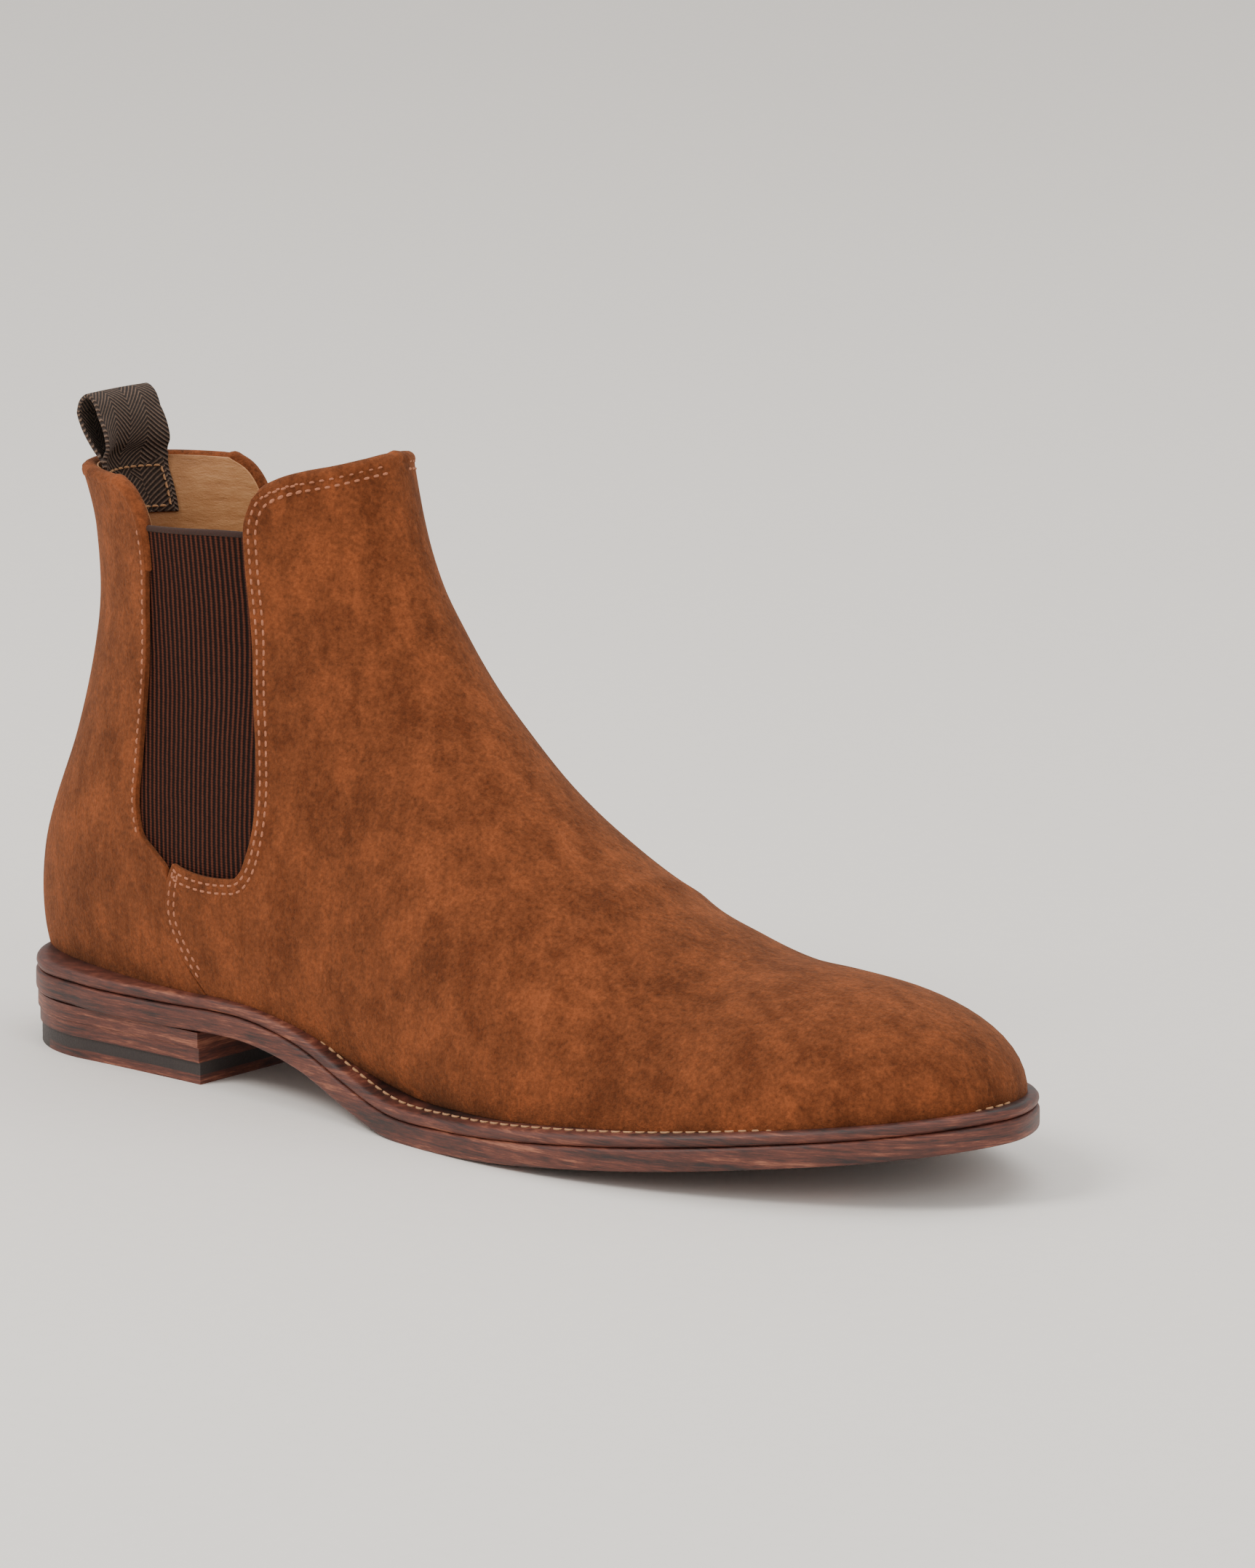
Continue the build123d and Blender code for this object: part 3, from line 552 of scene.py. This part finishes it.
def weave_group():
    """Shared group: herringbone twill across a strip. Its inputs are distances in mm along
    and across; ribs slope one way in one column and back in the next."""
    tree = bpy.data.node_groups.new("herringbone", "ShaderNodeTree")
    face = tree.interface
    for name, value in (("Along", 0.0), ("Across", 0.0), ("Column", 5.6), ("Rib", 1.3)):
        face.new_socket(name, in_out="INPUT", socket_type="NodeSocketFloat").default_value = value
    face.new_socket("Height", in_out="OUTPUT", socket_type="NodeSocketFloat")
    n = Nodes(tree)
    given = tree.nodes.new("NodeGroupInput")
    result = tree.nodes.new("NodeGroupOutput")
    slope = n.math("PINGPONG", given.outputs["Across"], given.outputs["Column"])
    phase = n.math("DIVIDE", n.math("ADD", given.outputs["Along"], slope), given.outputs["Rib"])
    wave = n.math("ADD", n.math("MULTIPLY", n.math("SINE", n.math("MULTIPLY", phase, 6.2832)), 0.5), 0.5)
    tree.links.new(wave, result.inputs["Height"])
    return tree


def make_material(name, build):
    """A material whose Principled shader is set by a function of its node helper."""
    material = bpy.data.materials.new("boot_" + name)
    material.use_nodes = True
    shader = material.node_tree.nodes["Principled BSDF"]
    build(Nodes(material.node_tree), shader)
    return material


def finish_shader(n, shader, color, height, depth, rough, spread=0.1):
    """Colour, bump and a roughness that varies with the height."""
    n.tree.links.new(color, shader.inputs["Base Color"])
    bump = n.add("Bump", {"Height": height, "Distance": depth, "Strength": 1.0})
    n.tree.links.new(bump.outputs[0], shader.inputs["Normal"])
    value = n.math("MULTIPLY_ADD", height, spread, rough - spread / 2)
    n.tree.links.new(value, shader.inputs["Roughness"])


def grained(base, patch, grain, patch_depth, grain_depth, edge, depth, rough, sheen=0.0, ior=1.45):
    """A material recipe of the shared grain group."""
    def build(n, shader):
        group = n.add("Group", node_tree=bpy.data.node_groups["grain"])
        for key, value in (("Color", (*rgb(*base), 1)), ("Patch Size", patch), ("Grain Size", grain),
                           ("Patch Depth", patch_depth), ("Grain Depth", grain_depth),
                           ("Edge Light", edge)):
            group.inputs[key].default_value = value
        shader.inputs["Sheen Weight"].default_value = sheen
        shader.inputs["Sheen Roughness"].default_value = 0.45
        shader.inputs["Sheen Tint"].default_value = (0.9, 0.62, 0.42, 1.0)
        shader.inputs["IOR"].default_value = ior
        finish_shader(n, shader, group.outputs["Color"], group.outputs["Height"], depth, rough)
    return build


def suede(n, shader):
    """Napped suede: broad brushed patches, short fibre flecks and a soft sheen."""
    group = n.add("Group", node_tree=bpy.data.node_groups["grain"])
    for key, value in (("Color", (*rgb(112, 60, 33), 1)), ("Patch Size", 30.0),
                       ("Grain Size", 1000.0), ("Patch Depth", 0.3), ("Grain Depth", 0.6),
                       ("Edge Light", 0.9)):
        group.inputs[key].default_value = value
    place = n.add("TexCoord").outputs["Object"]
    fleck = n.noise(place, 420.0, 5.0, 0.75)
    scuff = n.noise(place, 95.0, 4.0, 0.7, (1.0, 1.6, 0.6))
    shade = n.ramp(n.math("MULTIPLY_ADD", scuff, 0.7, n.math("MULTIPLY", fleck, 0.35)),
                   ((0.42, (0.68, 0.63, 0.58)), (0.53, (0.98, 0.98, 0.98)), (0.64, (1.35, 1.3, 1.24))))
    color = n.mix(1.0, group.outputs["Color"], shade, "MULTIPLY")
    shader.inputs["Sheen Weight"].default_value = 0.12
    shader.inputs["Sheen Roughness"].default_value = 0.5
    shader.inputs["Sheen Tint"].default_value = (0.85, 0.5, 0.28, 1.0)
    shader.inputs["Specular IOR Level"].default_value = 0.15
    height = n.math("MULTIPLY_ADD", fleck, 0.6, n.math("MULTIPLY", group.outputs["Height"], 0.5))
    finish_shader(n, shader, color, height, 0.0009, 0.95, 0.05)


def sole_leather(n, shader):
    """Pressed leather edge: long streaks along the layers, dark stain and a low polish."""
    place = n.add("TexCoord").outputs["Object"]
    streak = n.noise(place, 60.0, 6.0, 0.7, (0.35, 0.35, 9.0))
    fibre = n.noise(place, 420.0, 4.0, 0.7, (0.5, 0.5, 5.0))
    spot = n.noise(place, 30.0, 3.0, 0.6)
    value = n.math("ADD", n.math("MULTIPLY", streak, 0.5), n.math("MULTIPLY", fibre, 0.3))
    value = n.math("ADD", value, n.math("MULTIPLY", spot, 0.22))
    color = n.ramp(value, ((0.42, rgb(30, 12, 8)), (0.49, rgb(72, 32, 22)),
                           (0.55, rgb(98, 48, 34)), (0.63, rgb(150, 92, 68))))
    shader.inputs["Coat Weight"].default_value = 0.12
    shader.inputs["Coat Roughness"].default_value = 0.35
    finish_shader(n, shader, color, n.math("ADD", fibre, streak), 0.0002, 0.5, 0.2)


def elastic(n, shader):
    """Ribbed elastic: upright ribs with fine cross threads between them."""
    x, y, z = n.add("SeparateXYZ", {0: n.add("TexCoord").outputs["Object"]}).outputs
    wobble = n.math("MULTIPLY", n.noise(n.add("TexCoord").outputs["Object"], 60.0), 0.0009)
    ribs = n.math("SINE", n.math("MULTIPLY", n.math("ADD", n.math("MULTIPLY_ADD", z, 0.1, x), wobble), 3900.0))
    cross = n.math("SINE", n.math("MULTIPLY", z, 9500.0))
    height = n.math("ADD", n.math("MULTIPLY_ADD", ribs, 0.38, 0.5), n.math("MULTIPLY", cross, 0.1))
    speck = n.noise(n.add("TexCoord").outputs["Object"], 900.0, 3.0, 0.7)
    value = n.math("MULTIPLY", height, n.math("MULTIPLY_ADD", speck, 0.9, 0.55))
    color = n.ramp(value, ((0.2, rgb(16, 7, 5)), (0.5, rgb(46, 21, 14)), (0.85, rgb(84, 44, 31))))
    shader.inputs["Specular IOR Level"].default_value = 0.12
    finish_shader(n, shader, color, height, 0.0005, 0.8, 0.1)


def webbing(n, shader):
    """Herringbone webbing, by distances along and across the strip."""
    at = n.add("SeparateXYZ", {0: n.add("UVMap", uv_map="strip").outputs[0]}).outputs
    group = n.add("Group", {"Along": n.math("MULTIPLY", at[0], 100.0),
                            "Across": n.math("MULTIPLY", at[1], 100.0)},
                  node_tree=bpy.data.node_groups["herringbone"])
    speck = n.noise(n.add("TexCoord").outputs["Object"], 1600.0, 2.0)
    value = n.math("MULTIPLY_ADD", speck, 0.5, n.math("MULTIPLY", group.outputs[0], 0.6))
    color = n.ramp(value, ((0.25, rgb(34, 24, 19)), (0.6, rgb(78, 58, 47)), (0.9, rgb(122, 100, 84))))
    finish_shader(n, shader, color, group.outputs[0], 0.0006, 0.85, 0.1)


def lining_leather(n, shader):
    """Smooth tan calf: fine creases running round, faint pores and handling shade."""
    place = n.add("TexCoord").outputs["Object"]
    crease = n.noise(place, 170.0, 5.0, 0.7, (0.6, 0.6, 2.6))
    pore = n.noise(place, 1900.0, 2.0)
    shade = n.noise(place, 26.0, 3.0)
    value = n.math("ADD", n.math("MULTIPLY", crease, 0.45), n.math("MULTIPLY", shade, 0.55))
    color = n.ramp(value, ((0.32, rgb(122, 78, 44)), (0.5, rgb(172, 118, 72)), (0.68, rgb(198, 146, 98))))
    finish_shader(n, shader, color, n.math("MULTIPLY_ADD", pore, 0.3, crease), 0.0003, 0.55, 0.15)


RECIPES = {
    "suede": suede,
    "lining": lining_leather,
    "sole_leather": sole_leather,
    "elastic": elastic,
    "webbing": webbing,
    "rubber": grained((46, 39, 37), 60.0, 1400.0, 0.2, 0.3, 0.2, 0.0002, 0.6),
    "board": grained((168, 128, 88), 80.0, 700.0, 0.25, 0.35, 0.1, 0.0003, 0.85),
    "canvas": grained((196, 182, 158), 50.0, 1300.0, 0.15, 0.4, 0.1, 0.0003, 0.9, 0.2),
    "cork": grained((160, 112, 70), 260.0, 900.0, 0.6, 0.5, 0.1, 0.0006, 0.9),
    "thread": grained((168, 104, 74), 300.0, 2600.0, 0.2, 0.5, 0.0, 0.0002, 0.7, 0.3),
    "thread_pale": grained((178, 132, 92), 300.0, 2600.0, 0.2, 0.4, 0.0, 0.0002, 0.7, 0.3),
    "needle_hole": grained((52, 24, 14), 300.0, 1500.0, 0.2, 0.3, 0.0, 0.0001, 0.9),
    "hem": grained((46, 22, 15), 120.0, 1800.0, 0.2, 0.4, 0.0, 0.0002, 0.85, 0.1),
    "floor": grained((246, 241, 235), 3.0, 220.0, 0.015, 0.02, 0.0, 0.00005, 0.8),
}


def metal(base, rough):
    def build(n, shader):
        grained(base, 60.0, 900.0, 0.12, 0.15, 0.2, 0.00005, rough)(n, shader)
        shader.inputs["Metallic"].default_value = 1.0
    return build


RECIPES["steel"] = metal((190, 190, 192), 0.35)
RECIPES["brass"] = metal((205, 160, 90), 0.3)


def paint(piece, name):
    piece.data.materials.clear()
    piece.data.materials.append(bpy.data.materials["boot_" + name])


# ---- pieces ---------------------------------------------------------------------------------
BEND_LOW, BEND_HIGH = (0.0, 0.0, 0.066), (0.0, 0.0, 0.088)


def inner_wall(y, z, inset=WALL):
    """Distance ahead of the shaft's back face at a height, by rays straight back."""
    y, z = np.broadcast_arrays(np.asarray(y, float), np.asarray(z, float))
    origin = np.stack((np.full(y.shape, 60.0), y, z), -1)
    return cast(origin, np.broadcast_to((-1.0, 0.0, 0.0), origin.shape), inset)[..., 0]


def build_vamp(g):
    piece = make_object("upper_vamp", vamp_skin(0.0))
    outward(piece, (0.03, 0.0, 0.05))
    thicken(piece, g.suede * 1000, 0.45)
    paint(piece, "suede")
    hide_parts("vamp")
    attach(piece, "boot")
    lining = make_object("lining_vamp", vamp_skin(LINING_SKIN))
    outward(lining, (0.03, 0.0, 0.05))
    thicken(lining, 1.2, 0.3)
    paint(lining, "lining")
    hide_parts("vamp_lining")
    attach(lining, "boot")


def build_quarter(g):
    piece = make_object("upper_quarter", quarter_skin(0.0))
    outward(piece, (0.0, 0.0, 0.08))
    thicken(piece, g.suede * 1000, 0.5)
    paint(piece, "suede")
    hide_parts("quarter_heel", "quarter_back")
    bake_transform(piece)
    lining = make_object("lining_quarter", quarter_skin(LINING_SKIN))
    outward(lining, (0.0, 0.0, 0.08))
    thicken(lining, 1.2, 0.3)
    paint(lining, "lining")
    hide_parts("heel_lining", "back_lining")
    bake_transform(lining)


def build_gores(g):
    for name, hand in (("gore_lateral", -1), ("gore_medial", 1)):
        piece = make_object("elastic_" + name, gore_skin(hand, SUEDE_SKIN + 0.1))
        outward(piece, (0.03, 0.0, 0.09))
        thicken(piece, 1.1, 0.3)
        paint(piece, "elastic")
        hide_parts(name)
        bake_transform(piece)
        rim = line(((41.5, 136.2), (60.0, 137.5), (72.0, 138.4), (86.5, 138.8)), 60)
        hem = make_object("hem_" + name, tube(on_side(rim, hand, SUEDE_SKIN + 0.55), 0.85, 10))
        paint(hem, "hem")
        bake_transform(hem)


def build_topline(g):
    """Rolled edges: beads that close the wall's layers along both toplines."""
    quarter = quarter_skin(2.1)[0][0]
    bead = quarter[-1] + (0, 0, -0.9)
    lead = quarter[[-22, -17, -12, -8, -5, -3, -2], 0] + (-0.8, 0, 0)
    tail = quarter[[-2, -3, -5, -8, -12, -17, -22], -1] + (-0.8, 0, 0)
    path = line(np.vstack((lead, bead[1:-1:4], tail)), 260)
    piece = make_object("topline_back", tube(path, 2.0, 14, 1.05))
    paint(piece, "suede")
    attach(piece, "back_shaft")
    top = line(VAMP_TOP, 60)
    girth, turn = locate(top[:, 0], top[:, 1], 2.1)
    half = skin(girth, turn, 2.1)[2:] + (0.6, 0, -0.9)
    path = line(np.vstack((half[::4], (half * (1, -1, 1))[::-4][1:])), 160)
    piece = make_object("topline_front", tube(path, 2.0, 14, 1.05))
    paint(piece, "suede")
    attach(piece, "boot")


def build_sole(g):
    outsole = make_object("sole_outsole", sole_slab((
        (0, 1.0, 5.8), (0, 0.5, 5.8), (1.6, 0, 5.8), (0.8, 0, 5.72), (0.3, 0, 5.45), (0.05, 0, 4.9),
        (0.0, 0, 4.2), (0.0, 0, 1.5), (0.06, 0, 0.8), (0.3, 0, 0.3), (0.8, 0, 0.06), (1.6, 0, 0.0),
        (0, 0.5, 0.0), (0, 1.0, 0.0))))
    paint(outsole, "sole_leather")
    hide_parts("outsole")
    welt = make_object("sole_welt", sole_slab((
        (10.8, 0, 5.8), (3.0, 0, 5.8), (1.2, 0, 5.86), (0.7, 0, 6.1), (0.35, 0, 6.6), (0.15, 0, 7.3),
        (0.25, 0, 8.0), (0.7, 0, 8.6), (1.4, 0, 8.9), (3.0, 0, 8.95), (5.5, 0, 8.8), (10.8, 0, 8.8),
        (10.8, 0, 5.8))))
    paint(welt, "sole_leather")
    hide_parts("welt")
    for piece in (outsole, welt):
        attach(piece, "boot")


def build_tab(g):
    wall = lambda z, d: (float(inner_wall(0.0, z)) + d, z)
    path = [wall(z, 1.9) for z in (133.6, 137.0, 141.0, 145.0)]
    path += [(16.6, 148.6), (19.2, 152.2), (20.2, 156.5), (19.6, 161.0), (17.6, 164.4), (15.2, 165.5),
             (12.9, 164.0), (11.6, 160.5), (11.5, 156.0), (12.8, 151.8), (14.6, 148.4)]
    path += [wall(z, 0.7) for z in (145.0, 141.0, 137.0, 133.6)]
    path = line(path, 220)
    y = np.linspace(-g.tab_width * 500, g.tab_width * 500, 29)
    low = np.clip(path[:, 1], 133.0, 146.5)
    drop = inner_wall(y[None], low[:, None]) - inner_wall(0.0, low)[:, None]
    keep = np.clip((162.0 - path[:, 1]) / 14.0, 0.12, 1.0)[:, None]
    points = np.stack(np.broadcast_arrays(path[:, 0, None] + drop * keep, y, path[:, 1, None]), -1)
    piece = make_object("webbing_tab", [(points, grid_faces(220, 29))])
    run = np.r_[0, np.cumsum(np.linalg.norm(np.diff(path, axis=0), axis=1))]
    strip = np.stack(np.broadcast_arrays(run[:, None] / 100, (y + 50) / 100), -1).reshape(-1, 2)
    layer = piece.data.uv_layers.new(name="strip")
    corner = np.empty(len(piece.data.loops), int)
    piece.data.loops.foreach_get("vertex_index", corner)
    layer.data.foreach_set("uv", strip[corner].astype(np.float32).ravel())
    thicken(piece, 1.0, 0.3, even=False)
    paint(piece, "webbing")
    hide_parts("pull_tab_ends", "pull_tab_loop")
    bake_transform(piece)
    width = g.tab_width * 500 - 1.6
    box = [(width, 145.2), (-width, 145.2), (-width, 135.2), (width, 135.2), (width, 145.2)]
    rows = []
    for (y0, z0), (y1, z1) in zip(box, box[1:]):
        ys, zs = np.linspace(y0, y1, 40), np.linspace(z0, z1, 40)
        rows.append(np.stack((inner_wall(ys, zs) + 2.65, ys, zs), -1))
    seams = stitch_object("stitch_tab", rows, 2.1, 1.7, 0.3, -0.1)
    paint(seams, "thread_pale")
    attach(seams, "back_shaft")


def vamp_rows(hand, step):
    """A stitch row inside the vamp's rear edge, all the way from the topline to the welt."""
    edge = line(np.vstack((VAMP_TOP[3:0:-1], GORE_FRONT[::-1], GORE_BOTTOM[-2:0:-1], SEAM[:-1])), 900)
    path = side_offset(edge, step)
    keep = path[:, 1] > welt_top(path[:, 0]) + 1.0
    return on_side(path[keep], hand, -0.02)


def build_stitches(g):
    rows = [vamp_rows(hand, step) for hand in (-1, 1) for step in (1.7, 3.7)]
    groups = [("stitch_vamp", rows, "thread", "boot", None)]
    top = line(VAMP_TOP, 200)
    rows = []
    for step in (-2.0, -3.9):
        path = side_offset(top, step)[18:]
        girth, turn = locate(path[:, 0], path[:, 1], 0.0)
        half = skin(girth, turn, -0.02)
        half = half[turn > 0.12]
        rows += [half, half * (1, -1, 1)]
    groups.append(("stitch_vamp_top", rows, "thread", "boot", None))
    edge = line(QUARTER_EDGE[7:-2], 500)
    rows = [on_side(side_offset(edge, step), hand, -0.02) for hand in (-1, 1) for step in (1.2,)]
    groups.append(("stitch_quarter", rows, "thread", "back_shaft", BEND_LOW))
    inner = quarter_skin(WALL)[0][0]
    rows = [line(inner[-1, 3:-3] + (0, 0, -drop), 400) for drop in (2.6, 5.4)]
    groups.append(("stitch_lining", rows, "thread_pale", "back_shaft", None))
    lap = [welt_path(inset, 86.0, 400.0) for inset in (4.6,)]
    groups.append(("stitch_welt", lap, "thread_pale", "boot", None))
    for name, paths, material, body, bend in groups:
        sizes = (3.4, 2.7, 0.36, 0.0) if name == "stitch_welt" else (2.5, 1.9, 0.3, 0.0)
        if name == "stitch_lining":
            sizes = (2.5, 1.9, 0.28, -0.15)
        piece = stitch_object(name, paths, *sizes)
        paint(piece, material)
        if bend:
            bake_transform(piece)
        else:
            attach(piece, body)


CARRIED = {
    "gemming_rib": "canvas", "cork_filler": "cork", "shank": "steel", "shank_rivets": "steel",
    "insole": "sole_leather", "sock_liner": "lining", "heel_lift_1": "sole_leather",
    "heel_lift_2": "sole_leather", "top_lift_rubber": "rubber", "top_lift_leather": "sole_leather",
    "heel_nails": "steel", "top_lift_pins": "brass", "heel_counter": "board", "toe_puff": "board",
    "vamp_interlining": "canvas", "back_tape": "canvas",
}


def build_carried(g):
    for node, material in CARRIED.items():
        paint(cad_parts[node], material)


def build_materials(g):
    grain_group()
    weave_group()
    for name, recipe in RECIPES.items():
        make_material(name, recipe)


def area_light(name, place, aim, size, power, color=(1, 1, 1)):
    data = bpy.data.lights.new(name, "AREA")
    data.shape, data.size, data.energy, data.color = "DISK", size, power, color
    lamp = bpy.data.objects.new(name, data)
    lamp.location = place
    lamp.rotation_euler = (Vector(aim) - Vector(place)).to_track_quat("-Z", "Y").to_euler()
    bpy.context.scene.collection.objects.link(lamp)


def build_stage(g):
    mesh = bpy.data.meshes.new("floor")
    grid = np.stack(np.meshgrid(np.linspace(-6, 6, 3), np.linspace(-6, 6, 3), [0.0]), -1).reshape(-1, 3)
    mesh.from_pydata(grid.tolist(), [], grid_faces(3, 3)[:, ::-1].tolist())
    floor = bpy.data.objects.new("floor", mesh)
    bpy.context.scene.collection.objects.link(floor)
    paint(floor, "floor")
    world = bpy.data.worlds.new("room")
    bpy.context.scene.world = world
    world.use_nodes = True
    world.node_tree.nodes["Background"].inputs[0].default_value = (*rgb(240, 238, 235), 1)
    world.node_tree.nodes["Background"].inputs[1].default_value = 1.0
    area_light("key", (-0.5, -1.3, 1.7), (0.1, 0, 0.06), 0.9, 26, (1.0, 0.98, 0.95))
    area_light("front", (1.7, -0.6, 0.9), (0.15, 0, 0.05), 0.9, 7)
    area_light("top", (0.2, 0.5, 2.0), (0.1, 0, 0), 1.6, 12)
    camera = bpy.data.cameras.new("camera")
    camera.lens, camera.sensor_width, camera.sensor_fit = 292.0, 36.0, "HORIZONTAL"
    camera.clip_start, camera.clip_end = 0.1, 30.0
    view = bpy.data.objects.new("camera", camera)
    bpy.context.scene.collection.objects.link(view)
    bpy.context.scene.camera = view
    around, up = math.radians(g.azimuth), math.radians(g.elevation)
    back = Vector((math.sin(around) * math.cos(up), -math.cos(around) * math.cos(up), math.sin(up)))
    view.location = Vector((0.1325, 0.0178, 0.0815)) + back * g.distance
    view.rotation_euler = (-back).to_track_quat("-Z", "Y").to_euler()


# ---- add-on ------------------------------------------------------------------------------------
class BootSettings(bpy.types.PropertyGroup):
    suede: bpy.props.FloatProperty(
        name="Suede", description="Thickness of the suede", default=0.0016, unit="LENGTH", subtype="DISTANCE")
    tab_width: bpy.props.FloatProperty(
        name="Tab width", description="Width of the pull tab webbing", default=0.0225,
        unit="LENGTH", subtype="DISTANCE")


class StageSettings(bpy.types.PropertyGroup):
    azimuth: bpy.props.FloatProperty(
        name="Azimuth", description="Camera's angle round the boot, in degrees", default=40.0)
    elevation: bpy.props.FloatProperty(
        name="Elevation", description="Camera's angle above the floor, in degrees", default=12.0)
    distance: bpy.props.FloatProperty(
        name="Distance", description="Camera to the boot", default=2.5, unit="LENGTH", subtype="DISTANCE")


class BuildStep:
    bl_options = {"REGISTER", "UNDO"}
    settings = "boot_settings"

    def execute(self, context):
        self.make(getattr(context.scene, self.settings))
        return {"FINISHED"}


class BOOT_OT_materials(BuildStep, bpy.types.Operator):
    """Make the shared node groups and every material"""
    bl_idname, bl_label = "boot.materials", "Materials"
    make = staticmethod(build_materials)


class BOOT_OT_vamp(BuildStep, bpy.types.Operator):
    """Build the vamp and its lining"""
    bl_idname, bl_label = "boot.vamp", "Vamp"
    make = staticmethod(build_vamp)


class BOOT_OT_quarter(BuildStep, bpy.types.Operator):
    """Build the quarter and its lining"""
    bl_idname, bl_label = "boot.quarter", "Quarter"
    make = staticmethod(build_quarter)


class BOOT_OT_gores(BuildStep, bpy.types.Operator):
    """Build the elastic gores and their hems"""
    bl_idname, bl_label = "boot.gores", "Gores"
    make = staticmethod(build_gores)


class BOOT_OT_topline(BuildStep, bpy.types.Operator):
    """Build the rolled toplines"""
    bl_idname, bl_label = "boot.topline", "Toplines"
    make = staticmethod(build_topline)


class BOOT_OT_sole(BuildStep, bpy.types.Operator):
    """Build the outsole and welt"""
    bl_idname, bl_label = "boot.sole", "Sole"
    make = staticmethod(build_sole)


class BOOT_OT_tab(BuildStep, bpy.types.Operator):
    """Build the pull tab"""
    bl_idname, bl_label = "boot.tab", "Pull tab"
    make = staticmethod(build_tab)


class BOOT_OT_stitches(BuildStep, bpy.types.Operator):
    """Build every stitch row"""
    bl_idname, bl_label = "boot.stitches", "Stitches"
    make = staticmethod(build_stitches)


class BOOT_OT_carried(BuildStep, bpy.types.Operator):
    """Give the CAD pieces that stay their materials"""
    bl_idname, bl_label = "boot.carried", "CAD pieces"
    make = staticmethod(build_carried)


class BOOT_OT_stage(BuildStep, bpy.types.Operator):
    """Build the floor, lights and camera"""
    bl_idname, bl_label = "boot.stage", "Stage"
    settings = "boot_stage"
    make = staticmethod(build_stage)


class BOOT_PT_panel(bpy.types.Panel):
    bl_label, bl_idname = "Chelsea boot", "BOOT_PT_panel"
    bl_space_type, bl_region_type, bl_category = "VIEW_3D", "UI", "Boot"

    def draw(self, context):
        for settings in (context.scene.boot_settings, context.scene.boot_stage):
            for name in settings.__annotations__:
                self.layout.prop(settings, name)
        for step in STEPS:
            self.layout.operator(step.bl_idname)


STEPS = (BOOT_OT_materials, BOOT_OT_carried, BOOT_OT_vamp, BOOT_OT_quarter, BOOT_OT_gores,
         BOOT_OT_topline, BOOT_OT_sole, BOOT_OT_tab, BOOT_OT_stitches, BOOT_OT_stage)
CLASSES = (BootSettings, StageSettings, *STEPS, BOOT_PT_panel)


def register():
    for item in CLASSES:
        bpy.utils.register_class(item)
    bpy.types.Scene.boot_settings = bpy.props.PointerProperty(type=BootSettings)
    bpy.types.Scene.boot_stage = bpy.props.PointerProperty(type=StageSettings)


def unregister():
    del bpy.types.Scene.boot_settings, bpy.types.Scene.boot_stage
    for item in reversed(CLASSES):
        bpy.utils.unregister_class(item)


def main():
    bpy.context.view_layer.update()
    register()
    for step in STEPS:
        group, name = step.bl_idname.split(".")
        if getattr(getattr(bpy.ops, group), name)() != {"FINISHED"}:
            raise RuntimeError(step.bl_idname + " didn't finish")


if __name__ == "__main__":
    main()
